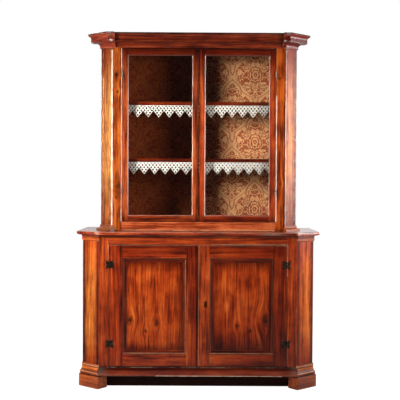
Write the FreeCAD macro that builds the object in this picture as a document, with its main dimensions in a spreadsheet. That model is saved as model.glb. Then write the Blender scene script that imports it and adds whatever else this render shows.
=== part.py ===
import FreeCAD, Part
import Sketcher
import math
import os
import re

doc = FreeCAD.newDocument("CantedCupboard")
sheet = doc.addObject("Spreadsheet::Sheet", "Sizes")

# Driving dimensions in millimetres and degrees
driving_sizes = {
    # Overall form
    "total_height": 2200,
    "total_depth": 580,
    "cant_angle": 40,
    "arris_round": 1.6,
    "joint_gap": 0.4,
    "edge_step": 0.6,
    "lap_share": 0.5,
    # Base carcass
    "lower_half_width": 722,
    "lower_front_half": 610,
    "lower_carcass_height": 950,
    "lower_frame_thickness": 26,
    "lower_side_thickness": 22,
    "lower_stile_width": 60,
    "frieze_height": 58,
    "back_thickness": 14,
    "floor_thickness": 20,
    "lower_shelf_thickness": 22,
    "lower_shelf_top": 520,
    "lower_shelf_setback": 20,
    "cleat_width": 20,
    "cleat_height": 28,
    "cleat_end_gap": 20,
    # Feet, pedestals and plinth
    "foot_height": 78,
    "foot_reach": 22,
    "foot_lap": 12,
    "foot_depth": 60,
    "foot_round": 3.2,
    "rear_foot_width": 82,
    "rear_foot_depth": 90,
    "pedestal_torus_height": 23,
    "pedestal_torus_reach": 17,
    "torus_bulge_share": 0.4,
    "pedestal_neck_height": 31,
    "pedestal_neck_reach": 4,
    "pedestal_neck_share": 0.75,
    "pedestal_fillet_height": 15,
    "pedestal_fillet_reach": 5,
    "plinth_setback": 62,
    "plinth_thickness": 20,
    "plinth_end_inset": 30,
    "plinth_ground_gap": 4,
    # Canted post faces
    "groove_width": 3,
    "groove_depth": 2.5,
    "lower_groove_inset": 14,
    "upper_groove_inset": 16,
    "cap_height": 26,
    "cap_reach": 6,
    "cap_shoulder_share": 0.8,
    # Bottom rail
    "bottom_rail_lift": 4,
    "bottom_rail_height": 55,
    "bottom_rail_reach": 22,
    "bottom_rail_nose": 14,
    "bottom_rail_foot": 16,
    "bottom_rail_end_slope": 0.8,
    "nose_bulge": 0.18,
    # Slab and its moulding
    "slab_overhang": 36,
    "slab_thickness": 20,
    "slab_round": 6,
    "slab_moulding_height": 13,
    "slab_moulding_reach": 24,
    "slab_moulding_foot": 6,
    "slab_moulding_fillet": 3,
    "cove_bulge": -0.2,
    # Doors of the base
    "door_gap": 3,
    "hinge_gap": 2,
    "meeting_gap": 3,
    "tenon_length": 34,
    "tenon_shoulder": 8,
    "lower_hinge_stile": 84,
    "lower_meeting_stile": 70,
    "lower_top_rail": 81,
    "lower_door_rail": 74,
    "panel_thickness": 12,
    "panel_recess": 10,
    "panel_lap": 9,
    "strip_width": 25,
    "strip_bead": 9,
    "strip_rise": 6,
    "strip_edge": 2,
    "strip_step_share": 0.6,
    "bead_bulge": 0.3,
    # Hutch carcass
    "upper_half_width": 618,
    "upper_front_half": 542,
    "upper_setback": 101,
    "upper_frame_thickness": 24,
    "upper_side_thickness": 20,
    "upper_stile_width": 60,
    "upper_base_rail_height": 55,
    "upper_top_lip": 12,
    "upper_board_thickness": 18,
    "lining_thickness": 1.2,
    "upper_shelf_thickness": 26,
    "upper_shelf_setback": 16,
    "high_shelf_top": 1783,
    "low_shelf_top": 1425,
    "base_block_height": 14,
    "base_block_reach": 27,
    "base_neck_height": 14,
    "base_neck_reach": 5,
    "base_neck_share": 0.8,
    "base_fillet_height": 8,
    "base_fillet_reach": 6,
    "base_edge_share": 0.7,
    # Cornice, each reach measured out from the body
    "cornice_reach": 80,
    "cornice_fillet_drop": 9,
    "cornice_corona_reach": 62,
    "cornice_ovolo_drop": 25,
    "cornice_corona_drop": 16,
    "cornice_step_reach": 50,
    "cornice_step_drop": 4,
    "cornice_soffit_reach": 29,
    "cornice_cove_drop": 23,
    "cornice_foot_reach": 8,
    "cornice_foot_drop": 8,
    "cornice_break": 18,
    "cornice_break_width": 20,
    "cornice_least_reach": 2,
    "cornice_return": 6,
    # Doors of the hutch
    "upper_door_stile": 40,
    "upper_door_top_rail": 45,
    "upper_door_rail": 41,
    "upper_tenon_length": 26,
    "glass_thickness": 3,
    "rebate_width": 9,
    "rebate_depth": 12,
    "sight_chamfer": 6,
    # Hinges of the base doors
    "hinge_high": 768,
    "hinge_low": 278,
    "hinge_leaf_thickness": 2,
    "hinge_leaf_height": 56,
    "hinge_waist_height": 36,
    "hinge_frame_leaf": 21,
    "hinge_door_leaf": 33,
    "hinge_notch": 6,
    "barrel_radius": 4,
    "barrel_standoff": 4.6,
    "pin_radius": 2.2,
    "pin_clearance": 0.05,
    "knuckle_gap": 0.3,
    "barrel_clearance": 0.8,
    # Hinges of the hutch doors
    "upper_hinge_head_drop": 162,
    "upper_hinge_foot_rise": 187,
    "barrel_half_height": 22,
    "spike_radius": 1.8,
    "spike_length": 24,
    "spike_angle": 38,
    # Locks and bolts
    "lower_key_height": 531,
    "upper_key_height": 1556,
    "key_inset_lower": 45,
    "key_inset_upper": 20,
    "keyhole_radius": 4,
    "keyhole_slit_width": 4,
    "keyhole_slit_drop": 15,
    "plate_width": 16,
    "plate_height": 38,
    "plate_thickness": 1.2,
    "plate_corner": 6.4,
    "case_height": 56,
    "case_depth": 13,
    "case_wall": 2,
    "lower_case_width": 62,
    "upper_case_width": 35,
    "bolt_height": 18,
    "bolt_tail_gap": 3,
    "bolt_clearance": 0.3,
    "latch_plate_width": 26,
    "latch_plate_height": 74,
    "latch_width": 12,
    "latch_thickness": 5,
    "latch_length": 96,
    "latch_staple_height": 10,
    "latch_staple_wall": 2,
    "latch_drop": 4,
    "latch_knob_radius": 4,
    "latch_knob_length": 9,
    "latch_knob_height": 24,
    # Lace edging
    "lace_thickness": 1,
    "lace_band": 33,
    "lace_lap": 3,
    "lace_drop": 43,
    "lace_pitch": 66,
    "lace_hole": 5.5,
    "lace_hole_pitch": 22,
    "lace_first_row": 12,
    "lace_row_pitch": 14,
    "lace_end_gap": 6,
    "high_lace_start": 483.6,
    "low_lace_start": 508,
}
for row, (name, number) in enumerate(driving_sizes.items(), start=1):
    sheet.set(f"A{row}", name)
    sheet.set(f"B{row}", str(number))
    sheet.setAlias(f"B{row}", name)
doc.recompute()

upward = FreeCAD.Vector(0, 0, 1)
rearward = FreeCAD.Vector(0, 1, 0)
nodes = []

# Heights and planes that several pieces share
back_face = "(total_depth / 2)"
slab_top = "(lower_carcass_height + slab_thickness)"
hutch_top = "(total_height - upper_top_lip)"
hutch_back = "(total_depth / 2 - back_thickness)"
lining_face = "(total_depth / 2 - back_thickness - lining_thickness)"
rail_low = "(foot_height + bottom_rail_lift)"
rail_top = "(foot_height + bottom_rail_lift + bottom_rail_height)"
frieze_low = "(lower_carcass_height - frieze_height)"
base_rail_top = "(lower_carcass_height + slab_thickness + upper_base_rail_height)"
cornice_drop = ("(cornice_fillet_drop + cornice_ovolo_drop + cornice_corona_drop + cornice_step_drop"
                " + cornice_cove_drop + cornice_foot_drop)")
top_rail_low = f"(total_height - {cornice_drop})"


def value(text):
    return float(sheet.evalExpression(text))


def bound(text):
    return re.sub(r"[a-z]+(?:_[a-z]+)+", lambda found: "Sizes." + found.group(0), text)


def bind(item, links):
    for path, text in links.items():
        item.setExpression(path, bound(text))


def place(item, x="0", y="0", z="0", turn=None, axis=upward):
    if turn:
        item.Placement = FreeCAD.Placement(FreeCAD.Vector(), FreeCAD.Rotation(axis, 1))
        bind(item, {"Placement.Rotation.Angle": turn})
    bind(item, {"Placement.Base.x": x, "Placement.Base.y": y, "Placement.Base.z": z})
    return item


def node(item, label):
    item.Label = label
    nodes.append(item)
    return item


def mirrored(side, text):
    return f"{side} * ({text})"


# Rectangular board between two corners, mirrored to the left where side is -1
def board(name, x, y, z, side=1):
    item = doc.addObject("Part::Box", name)
    sizes = zip(("Length", "Width", "Height"), (x, y, z))
    bind(item, {size: f"({high}) - ({low})" for size, (low, high) in sizes})
    first = x[0] if side > 0 else f"-({x[1]})"
    return place(item, first, y[0], z[0])


def rod(name, radius, length, x, y, z, turn=None, axis=upward):
    item = doc.addObject("Part::Cylinder", name)
    bind(item, {"Radius": radius, "Height": length})
    return place(item, x, y, z, turn, axis)


# Arc from start to end that bulges by a share of its chord, to the left of travel when positive
def bulged_arc(start, end, bulge):
    chord = end - start
    rise = abs(bulge) * chord.Length
    radius = chord.Length * (0.25 + bulge ** 2) / (2 * abs(bulge))
    left = FreeCAD.Vector(-chord.y, chord.x, 0).normalize() * math.copysign(1, bulge)
    centre = (start + end) * 0.5 + left * (rise - radius)
    first, last = (end, start) if bulge > 0 else (start, end)
    angles = [math.atan2(spot.y - centre.y, spot.x - centre.x) for spot in (first, last)]
    return Part.ArcOfCircle(Part.Circle(centre, upward, radius), *angles)


def chord_radius(point, following):
    run = f"sqrt(({following[0]} - ({point[0]}))^2 + ({following[1]} - ({point[1]}))^2)"
    return f"{run} * (0.25 + ({point[2]})^2) / (2 * abs({point[2]}))"


# Closed outline whose corners are held by named sizes; a third entry makes the next edge an arc
def outline(body, role, points):
    sketch = body.newObject("Sketcher::SketchObject", body.Name + "_outline")
    plane = next(feature for feature in body.Origin.OriginFeatures if feature.Role == role)
    sketch.AttachmentSupport = [(plane, "")]
    sketch.MapMode = "FlatFace"
    count = len(points)
    corners = [FreeCAD.Vector(value(point[0]), value(point[1]), 0) for point in points]
    ends = []
    for index, point in enumerate(points):
        following = corners[(index + 1) % count]
        if len(point) == 3:
            bulge = value(point[2])
            sketch.addGeometry(bulged_arc(corners[index], following, bulge))
            ends.append((2, 1) if bulge > 0 else (1, 2))
        else:
            sketch.addGeometry(Part.LineSegment(corners[index], following))
            ends.append((1, 2))
    for index in range(count):
        after = (index + 1) % count
        sketch.addConstraint(
            Sketcher.Constraint("Coincident", index, ends[index][1], after, ends[after][0]))
    for index, point in enumerate(points):
        held = [("DistanceX", point[0], corners[index].x), ("DistanceY", point[1], corners[index].y)]
        for kind, text, number in held:
            link = sketch.addConstraint(Sketcher.Constraint(kind, index, ends[index][0], number))
            sketch.setExpression(f"Constraints[{link}]", bound(text))
        if len(point) == 3:
            text = chord_radius(point, points[(index + 1) % count])
            link = sketch.addConstraint(Sketcher.Constraint("Radius", index, value(text)))
            sketch.setExpression(f"Constraints[{link}]", bound(text))
    return sketch


def pad(body, sketch, length, both_ways=False):
    feature = body.newObject("PartDesign::Pad", body.Name + "_pad")
    feature.Profile = sketch
    feature.Midplane = both_ways
    bind(feature, {"Length": length})
    return feature


def prism(name, points, length, role="XY_Plane", both_ways=False):
    body = doc.addObject("PartDesign::Body", name)
    pad(body, outline(body, role, points), length, both_ways)
    return body


def fused(name, items):
    if len(items) == 1:
        return items[0]
    item = doc.addObject("Part::MultiFuse", name)
    item.Shapes = items
    return item


def cut(name, base, tools):
    item = doc.addObject("Part::Cut", name)
    item.Base = base
    item.Tool = fused(name + "_cutters", tools)
    return item


def shared(name, first, second):
    item = doc.addObject("Part::Common", name)
    item.Base = first
    item.Tool = second
    return item


def group(name, items):
    item = doc.addObject("Part::Compound", name)
    item.Links = items
    return item


def runs_along(axis):
    def chosen(edge):
        start, end = edge.Vertexes[0].Point, edge.Vertexes[-1].Point
        return (end - start).normalize().cross(axis).Length < 0.01
    return chosen


def is_level(edge):
    heights = [vertex.Z for vertex in edge.Vertexes]
    return max(heights) - min(heights) < 0.01


# Softened arrises on the chosen edges
def eased(item, radius, chosen):
    doc.recompute()
    amount = value(radius)
    edges = [number for number, edge in enumerate(item.Shape.Edges, start=1) if chosen(edge)]
    softened = doc.addObject("Part::Fillet", item.Name + "_eased")
    softened.Base = item
    softened.Edges = [(number, amount, amount) for number in edges]
    return softened


upright = runs_along(upward)
crosswise = runs_along(FreeCAD.Vector(1, 0, 0))

# Ruled faces along a half round and along a hollow
torus_steps = 6
cove_steps = 5


# Plan of one body: its front plane, its canted corners and the middle of each canted face
def tier(half_width, front_half, front, frame_thickness, side_thickness):
    width = f"({half_width} - {front_half})"
    return {
        "half": half_width,
        "front_half": front_half,
        "front": front,
        "frame_back": f"({front} + {frame_thickness})",
        "frame_thickness": frame_thickness,
        "side_thickness": side_thickness,
        "inner": f"({half_width} - {side_thickness})",
        "corner": f"({front} + {width} * tan(cant_angle))",
        "face": f"({width} / cos(cant_angle))",
        "middle_x": f"(({half_width} + {front_half}) / 2)",
        "middle_y": f"({front} + {width} * tan(cant_angle) / 2)",
    }


lower = tier("lower_half_width", "lower_front_half", "(slab_overhang - total_depth / 2)",
             "lower_frame_thickness", "lower_side_thickness")
upper = tier("upper_half_width", "upper_front_half", "(slab_overhang + upper_setback - total_depth / 2)",
             "upper_frame_thickness", "upper_side_thickness")


def on_cant(item, body, side, z):
    return place(item, mirrored(side, body["middle_x"]), body["middle_y"], z, f"{side} * cant_angle")


# Board that fills the plan inside the posts, its front edge set back from the frame
def inner_board(name, body, setback, rear, low, thickness):
    front = f"({body['frame_back']} + {setback})"
    corner = f"({body['corner']} + {setback})"
    half, inner = body["front_half"], body["inner"]
    right = [(half, front), (inner, corner), (inner, rear)]
    left = [(f"-{x}", y) for x, y in reversed(right)]
    return place(prism(name, right + left, thickness), z=low)


# Canted post: a board across the corner with two grooves down its face
def canted_post(name, body, side, inset, low, high):
    half = f"({body['face']} / 2)"
    stile_back = (f"-{half} + {body['frame_thickness']} * sin(cant_angle)",
                  f"{body['frame_thickness']} * cos(cant_angle)")
    side_back = (f"{half} - {body['side_thickness']} * cos(cant_angle)",
                 f"{body['side_thickness']} * sin(cant_angle)")
    near = f"({half} - {inset})"
    far = f"({half} - {inset} - groove_width)"
    points = [(f"-{half}", "0"), (f"-{near}", "0"), (f"-{near}", "groove_depth"), (f"-{far}", "groove_depth"),
              (f"-{far}", "0"), (far, "0"), (far, "groove_depth"), (near, "groove_depth"), (near, "0"),
              (half, "0"), side_back, stile_back]
    plan = [(mirrored(side, x), y) for x, y in points]
    return on_cant(prism(name, plan, f"{high} - {low}"), body, side, low)


# Plan of a moulding that wraps a canted face and returns to the front and the side
def wrap_plan(body, side, reach, lap):
    half = f"({body['face']} / 2)"
    points = [(f"-{half} - {lap}", f"-{reach}"), (f"{half} + {lap}", f"-{reach}"),
              (f"{half} + {lap}", f"{lap} / tan(cant_angle)"), (half, "0"), (f"-{half}", "0"),
              (f"-{half} - {lap}", f"{lap} * tan(cant_angle)")]
    return [(mirrored(side, x), y) for x, y in points]


# Moulding round a canted face, ruled through stations of height and reach
def wrapped_moulding(name, body, side, low, stations):
    solid = doc.addObject("PartDesign::Body", name)
    sections = []
    for height, reach in stations:
        section = outline(solid, "XY_Plane", wrap_plan(body, side, reach, f"({reach} * lap_share)"))
        bind(section, {"AttachmentOffset.Base.z": height})
        sections.append(section)
    loft = solid.newObject("PartDesign::AdditiveLoft", name + "_loft")
    loft.Profile = sections[0]
    loft.Sections = sections[1:]
    loft.Ruled = True
    return on_cant(solid, body, side, low)


# Half-round stations, from one reach out by the bulge and back
def torus_stations(low, height, reach, bulge):
    turns = [index * 180 / torus_steps for index in range(torus_steps + 1)]
    return [(f"{low} + {height} * (1 - cos({turn})) / 2", f"({reach} + {bulge} * sin({turn}))")
            for turn in turns]


# Hollow stations, from a wide reach at the bottom to a narrow one at the top
def cove_stations(low, height, wide, narrow):
    turns = [index * 90 / cove_steps for index in range(cove_steps + 1)]
    return [(f"{low} + {height} * (1 - cos({turn}))", f"({narrow} + ({wide} - {narrow}) * (1 - sin({turn})))")
            for turn in turns]


# Length of moulding cut from a profile of (reach, height), mitred at its ends
def moulding_length(name, profile, deepest, tallest, start, end, start_slope, end_slope, side):
    reach = f"(abs({start}) + abs({end}) + 2 * {deepest})"
    stock = prism(name + "_stock", [(f"-({point[0]})",) + point[1:] for point in profile],
                  f"2 * {reach}", "YZ_Plane", True)
    plan = [(start, "0"), (f"{start} - {deepest} * {start_slope}", f"-{deepest}"),
            (f"{end} + {deepest} * {end_slope}", f"-{deepest}"), (end, "0")]
    ends = prism(name + "_ends", [(mirrored(side, x), y) for x, y in plan], f"2 * {tallest}", both_ways=True)
    return [stock, ends]


front_mitre = "tan(cant_angle / 2)"
side_mitre = "tan((90 - cant_angle) / 2)"


# Length of a moulding along the front of a body
def front_length(name, body, profile, size, z, start, end, slopes, side=1):
    pieces = moulding_length(name, profile, *size, start, end, *slopes, side)
    return shared(name, *[place(piece, y=body["front"], z=z) for piece in pieces])


# Canted and side lengths of a moulding at both corners of a body
def corner_lengths(name, body, profile, size, z, side_run):
    face = f"({body['face']} / 2)"
    lengths = []
    for side, hand in ((-1, "left"), (1, "right")):
        pieces = moulding_length(f"{name}_{hand}_cant", profile, *size, f"-{face}", face,
                                 front_mitre, side_mitre, side)
        lengths.append(shared(f"{name}_{hand}_cant", *[on_cant(piece, body, side, z) for piece in pieces]))
        pieces = moulding_length(f"{name}_{hand}_side", profile, *size, "0", side_run, side_mitre, "0", side)
        flank = mirrored(side, body["half"])
        turned = [place(piece, flank, body["corner"], z, f"{side} * 90") for piece in pieces]
        lengths.append(shared(f"{name}_{hand}_side", *turned))
    return lengths


# Rail with a tenon bar running into the stiles at both ends
def tenoned_rail(name, x, y, z, tenon_length, side=1):
    rail = eased(board(name + "_stock", x, y, z, side), "arris_round", crosswise)
    third = f"({y[1]} - ({y[0]})) / 3"
    tenon = board(name + "_tenon", (f"{x[0]} - {tenon_length}", f"{x[1]} + {tenon_length}"),
                  (f"{y[0]} + {third}", f"{y[1]} - {third}"),
                  (f"{z[0]} + tenon_shoulder", f"{z[1]} - tenon_shoulder"), side)
    return fused(name, [rail, tenon]), tenon


# Carcass pair of front stiles, mortised for the rails between them
def front_stiles(name, body, width, low, high, tenons):
    pair = []
    for side in (-1, 1):
        stock = board(f"{name}_{side + 1}", (f"{body['front_half']} - {width}", body["front_half"]),
                      (body["front"], body["frame_back"]), (low, high), side)
        pair.append(cut(f"{name}_{side + 1}_cut", eased(stock, "arris_round", upright), tenons))
    return pair


# Base carcass
opening_half = "(lower_front_half - lower_stile_width)"
frame_depth = (lower["front"], lower["frame_back"])
frieze, frieze_tenon = tenoned_rail("frieze", (f"-{opening_half}", opening_half), frame_depth,
                                    (frieze_low, "lower_carcass_height"), "tenon_length")
node(frieze, "frieze_rail")
node(group("lower_stile_pair", front_stiles("lower_stile", lower, "lower_stile_width", "foot_height",
                                            "lower_carcass_height", [frieze_tenon])), "lower_front_stiles")
side_depth = (lower["corner"], back_face)
node(group("lower_side_pair", [
    board(f"lower_side_{side + 1}", (lower["inner"], lower["half"]), side_depth,
          ("foot_height", "lower_carcass_height"), side) for side in (-1, 1)]), "lower_sides")
node(board("lower_back_stock", (f"-{lower['inner']}", lower["inner"]), (hutch_back, back_face),
           ("foot_height", "lower_carcass_height")), "lower_back")
node(inner_board("lower_floor", lower, "0", hutch_back, f"{rail_top} - floor_thickness", "floor_thickness"),
     "lower_floor_board")
node(inner_board("lower_shelf_stock", lower, "lower_shelf_setback", hutch_back,
                 "lower_shelf_top - lower_shelf_thickness", "lower_shelf_thickness"), "lower_shelf")


def shelf_cleats(name, body, setback, shelf_low, rear):
    return [board(f"{name}_{side + 1}", (f"{body['inner']} - cleat_width", body["inner"]),
                  (f"{body['corner']} + {setback} + cleat_end_gap", f"{rear} - cleat_end_gap"),
                  (f"{shelf_low} - cleat_height", shelf_low), side) for side in (-1, 1)]


node(group("lower_cleats", shelf_cleats("lower_cleat", lower, "lower_shelf_setback",
                                        "(lower_shelf_top - lower_shelf_thickness)", hutch_back)),
     "lower_shelf_cleats")

# Bottom rail: a sill between the stiles and a rounded moulding that dies into the pedestals
rail_half = "(lower_front_half - pedestal_torus_reach * lap_share / cos(cant_angle) - joint_gap)"
rail_profile = [("0", "0"), ("bottom_rail_foot", "0"), ("bottom_rail_reach", "bottom_rail_foot / 2"),
                ("bottom_rail_reach", "bottom_rail_height - bottom_rail_nose - bottom_rail_foot",
                 "nose_bulge"),
                ("bottom_rail_reach - bottom_rail_nose", "bottom_rail_height - bottom_rail_nose / 4"),
                ("bottom_rail_reach - bottom_rail_nose", "bottom_rail_height"), ("0", "bottom_rail_height")]
rail_pieces = moulding_length("bottom_rail_nose", rail_profile, "bottom_rail_reach", "bottom_rail_height",
                              f"-{rail_half}", rail_half, "bottom_rail_end_slope",
                              "bottom_rail_end_slope", 1)
rail_front = shared("bottom_rail_moulding",
                    *[place(piece, y=lower["front"], z=rail_low) for piece in rail_pieces])
sill = board("bottom_rail_sill", (f"-{opening_half}", opening_half), frame_depth, (rail_low, rail_top))
node(fused("bottom_rail_whole", [sill, rail_front]), "bottom_rail")

# Canted posts, caps, pedestals and feet
posts = {}
caps = []
pedestals = []
front_feet = []
rear_feet = []
cap_low = "(lower_carcass_height - slab_moulding_height - cap_height)"
cap_stations = [("0", "cap_reach / 3"), ("cap_height / 4", "cap_reach"),
                ("cap_height * cap_shoulder_share", "cap_reach"), ("cap_height", "cap_reach / 2")]
neck_low = "pedestal_torus_height + edge_step"
fillet_low = f"{neck_low} + pedestal_neck_height"
pedestal_top = "pedestal_torus_height + pedestal_neck_height + pedestal_fillet_height"
pedestal_stations = (
    torus_stations("0", "pedestal_torus_height", "pedestal_torus_reach * (1 - torus_bulge_share)",
                   "pedestal_torus_reach * torus_bulge_share")
    + cove_stations(neck_low, "pedestal_neck_height", "pedestal_torus_reach * pedestal_neck_share",
                    "pedestal_neck_reach")
    + [(f"{fillet_low} + edge_step", "pedestal_fillet_reach"),
       (f"{pedestal_top} - edge_step * 2", "pedestal_fillet_reach"),
       (pedestal_top, "pedestal_fillet_reach / 2")])
for side, hand in ((-1, "left"), (1, "right")):
    posts[hand] = canted_post(f"lower_post_{hand}", lower, side, "lower_groove_inset",
                              "foot_height", "lower_carcass_height")
    caps.append(wrapped_moulding(f"post_cap_{hand}", lower, side, cap_low, cap_stations))
    pedestals.append(wrapped_moulding(f"pedestal_{hand}", lower, side, "foot_height", pedestal_stations))
    reach = f"({lower['face']} / 2 + foot_lap)"
    block = prism(f"front_foot_{hand}", [(f"-{reach}", "-foot_reach"), (reach, "-foot_reach"),
                                         (reach, "foot_depth"), (f"-{reach}", "foot_depth")], "foot_height")
    on_cant(block, lower, side, "0")
    front_feet.append(eased(block, "foot_round", lambda edge: True))
    rear_feet.append(board(f"rear_foot_{hand}", (f"{lower['half']} - rear_foot_width", lower["half"]),
                           (f"{back_face} - rear_foot_depth", back_face), ("0", "foot_height"), side))
node(group("lower_posts", list(posts.values())), "lower_canted_posts")
node(group("post_cap_pair", caps), "post_caps")
node(group("pedestal_pair", pedestals), "pedestal_mouldings")
node(group("front_foot_pair", front_feet), "front_feet")
node(group("rear_foot_pair", rear_feet), "rear_feet")
plinth_half = "(lower_front_half - plinth_end_inset)"
plinth_front = f"({lower['front']} + plinth_setback)"
node(board("plinth_stock", (f"-{plinth_half}", plinth_half),
           (plinth_front, f"{plinth_front} + plinth_thickness"),
           ("plinth_ground_gap", f"{rail_top} - floor_thickness")), "plinth_board")

# Slab with rounded edges and the hollow moulding under it
slab_right = [("lower_front_half", f"{lower['front']} - slab_overhang"),
              ("lower_half_width + slab_overhang", f"{lower['corner']} - slab_overhang * {side_mitre}"),
              ("lower_half_width + slab_overhang", back_face)]
slab_left = [(f"-({x})", y) for x, y in reversed(slab_right)]
slab = place(prism("slab", slab_right + slab_left, "slab_thickness"), z="lower_carcass_height")
rear_edge = value(back_face) - 1
node(eased(slab, "slab_round", lambda edge: is_level(edge) and edge.CenterOfMass.y < rear_edge), "top_slab")
slab_profile = [("0", "0"), ("0", "-slab_moulding_height"), ("slab_moulding_foot", "-slab_moulding_height"),
                ("slab_moulding_foot", "slab_moulding_fillet - slab_moulding_height", "cove_bulge"),
                ("slab_moulding_reach", "-slab_moulding_fillet"), ("slab_moulding_reach", "0")]
slab_moulding_size = ("slab_moulding_reach", "slab_moulding_height")
slab_front = front_length("slab_moulding_front", lower, slab_profile, slab_moulding_size,
                          "lower_carcass_height", "-lower_front_half", "lower_front_half",
                          (front_mitre, front_mitre))
slab_ends = corner_lengths("slab_moulding", lower, slab_profile, slab_moulding_size, "lower_carcass_height",
                           f"({back_face} - {lower['corner']})")
node(group("slab_moulding_set", [slab_front] + slab_ends), "slab_moulding")


# Four strips of panel moulding round an opening, bead against the frame, mitred at the corners
strip_profile = [("0", "0"), ("-strip_rise", "0", "bead_bulge"), ("-strip_rise", "strip_bead"),
                 ("-strip_rise * strip_step_share", "strip_bead"), ("-strip_edge", "strip_width"),
                 ("0", "strip_width")]


def panel_strip(name, length, x, y, z, turn):
    half = f"({length} / 2)"
    stock = prism(name + "_stock", strip_profile, length, "YZ_Plane", True)
    face = [(f"-{half}", "0"), (half, "0"), (f"{half} - strip_width", "strip_width"),
            (f"strip_width - {half}", "strip_width")]
    ends = prism(name + "_ends", face, "4 * panel_recess", "XZ_Plane", True)
    return shared(name, *[place(piece, x, y, z, turn, rearward) for piece in (stock, ends)])


# Layout of one pair of doors, measured outwards from the meeting line
def door_layout(body, opening, low, high, stiles, rails):
    meeting, outer = "(meeting_gap / 2)", f"({opening} - hinge_gap)"
    bottom, top = f"({low} + door_gap)", f"({high} - door_gap)"
    return {
        "outside_x": (meeting, outer),
        "outside_z": (bottom, top),
        "inside_x": (f"({meeting} + {stiles[0]})", f"({outer} - {stiles[1]})"),
        "inside_z": (f"({bottom} + {rails[0]})", f"({top} - {rails[1]})"),
        "depth": (body["front"], body["frame_back"]),
        "hinge_x": f"({opening} - hinge_gap / 2)",
        "hinge_y": f"({body['front']} - barrel_standoff)",
    }


# Two stiles and two tenoned rails, all cut for what the frame holds
def door_frame(name, side, layout, tenon_length, held, meeting_cuts, hinge_cuts):
    depth = layout["depth"]
    outside_x, inside_x = layout["outside_x"], layout["inside_x"]
    outside_z, inside_z = layout["outside_z"], layout["inside_z"]
    rails = []
    tenons = []
    for place_name, z in (("bottom", (outside_z[0], inside_z[0])), ("top", (inside_z[1], outside_z[1]))):
        rail, tenon = tenoned_rail(f"{name}_{place_name}_rail", inside_x, depth, z, tenon_length, side)
        rails.append(cut(f"{name}_{place_name}_rail_cut", rail, held))
        tenons.append(tenon)
    stiles = []
    for place_name, x, extra in (("meeting", (outside_x[0], inside_x[0]), meeting_cuts),
                                 ("hinge", (inside_x[1], outside_x[1]), hinge_cuts)):
        stock = eased(board(f"{name}_{place_name}_stile", x, depth, outside_z, side), "arris_round", upright)
        stiles.append(cut(f"{name}_{place_name}_stile_cut", stock, tenons + held + extra))
    return group(name, stiles + rails)


# Round hole with a slit below it, cut through a stile
def keyhole(name, body, x, z):
    deep = f"({body['frame_thickness']} + 2 * barrel_standoff)"
    front = f"({body['front']} - barrel_standoff)"
    hole = rod(name + "_hole", "keyhole_radius", deep, x, front, z, "-90", FreeCAD.Vector(1, 0, 0))
    slit = board(name + "_slit", (f"{x} - keyhole_slit_width / 2", f"{x} + keyhole_slit_width / 2"),
                 (front, f"{front} + {deep}"), (f"{z} - keyhole_slit_drop", z))
    return [hole, slit]


# Rim lock behind the right meeting stile: an open pan and the bolt that slides out of its edge
def rim_lock(name, body, case_width, z):
    back = body["frame_back"]
    low, high = "(meeting_gap / 2 + joint_gap)", f"(meeting_gap / 2 + joint_gap + {case_width})"
    outer_z = (f"{z} - case_height / 2", f"{z} + case_height / 2")
    case = board(name + "_case_stock", (low, high), (back, f"{back} + case_depth"), outer_z)
    hollow = board(name + "_case_hollow", (f"{low} + case_wall", f"{high} - case_wall"),
                   (f"{back} - joint_gap", f"{back} + case_depth - case_wall"),
                   (f"{outer_z[0]} + case_wall", f"{outer_z[1]} - case_wall"))
    slot = board(name + "_case_slot", (f"{low} - case_wall", f"{low} + 2 * case_wall"),
                 (f"{back} - joint_gap", f"{back} + case_depth - case_wall"),
                 (f"{z} - bolt_height / 2 - bolt_clearance", f"{z} + bolt_height / 2 + bolt_clearance"))
    bolt = board(name + "_bolt_stock", (low, f"{high} - case_wall - bolt_tail_gap"),
                 (f"{back} + bolt_clearance", f"{back} + case_depth - case_wall - bolt_clearance"),
                 (f"{z} - bolt_height / 2", f"{z} + bolt_height / 2"))
    return cut(name + "_case_cut", case, [hollow, slot]), bolt


# Sliding latch behind the left meeting stile, held by two staples on a plate
def slide_latch(name, body, stile, top):
    back = body["frame_back"]
    x = f"(meeting_gap / 2 + {stile} / 2)"
    low = f"({top} - latch_drop - latch_length + latch_staple_height)"
    front = f"({back} + hinge_leaf_thickness + bolt_clearance)"
    rear = f"({front} + latch_thickness)"
    plate = board(name + "_plate_stock", (f"{x} - latch_plate_width / 2", f"{x} + latch_plate_width / 2"),
                  (back, f"{back} + hinge_leaf_thickness"), (low, f"{low} + latch_plate_height"), -1)
    wide = "(latch_width / 2 + bolt_clearance + latch_staple_wall)"
    staples = [board(f"{name}_staple_{index}", (f"{x} - {wide}", f"{x} + {wide}"),
                     (back, f"{rear} + bolt_clearance + latch_staple_wall"),
                     (start, f"{start} + latch_staple_height"), -1)
               for index, start in enumerate((low, f"{low} + latch_plate_height - latch_staple_height"))]
    loose = "(latch_width / 2 + bolt_clearance)"
    slot = board(name + "_slot", (f"{x} - {loose}", f"{x} + {loose}"),
                 (f"{back} + hinge_leaf_thickness", f"{rear} + bolt_clearance"),
                 (f"{low} - latch_staple_height", f"{low} + latch_length"), -1)
    holder = cut(name + "_plate_cut", fused(name + "_plate_whole", [plate] + staples), [slot])
    bar = board(name + "_bar", (f"{x} - latch_width / 2", f"{x} + latch_width / 2"), (front, rear),
                (f"{low} - latch_staple_height", f"{low} - latch_staple_height + latch_length"), -1)
    knob = rod(name + "_knob", "latch_knob_radius", "latch_knob_length", f"-{x}", rear,
               f"{low} + latch_knob_height", "-90", FreeCAD.Vector(1, 0, 0))
    return holder, fused(name + "_bar_whole", [bar, knob])


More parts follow.
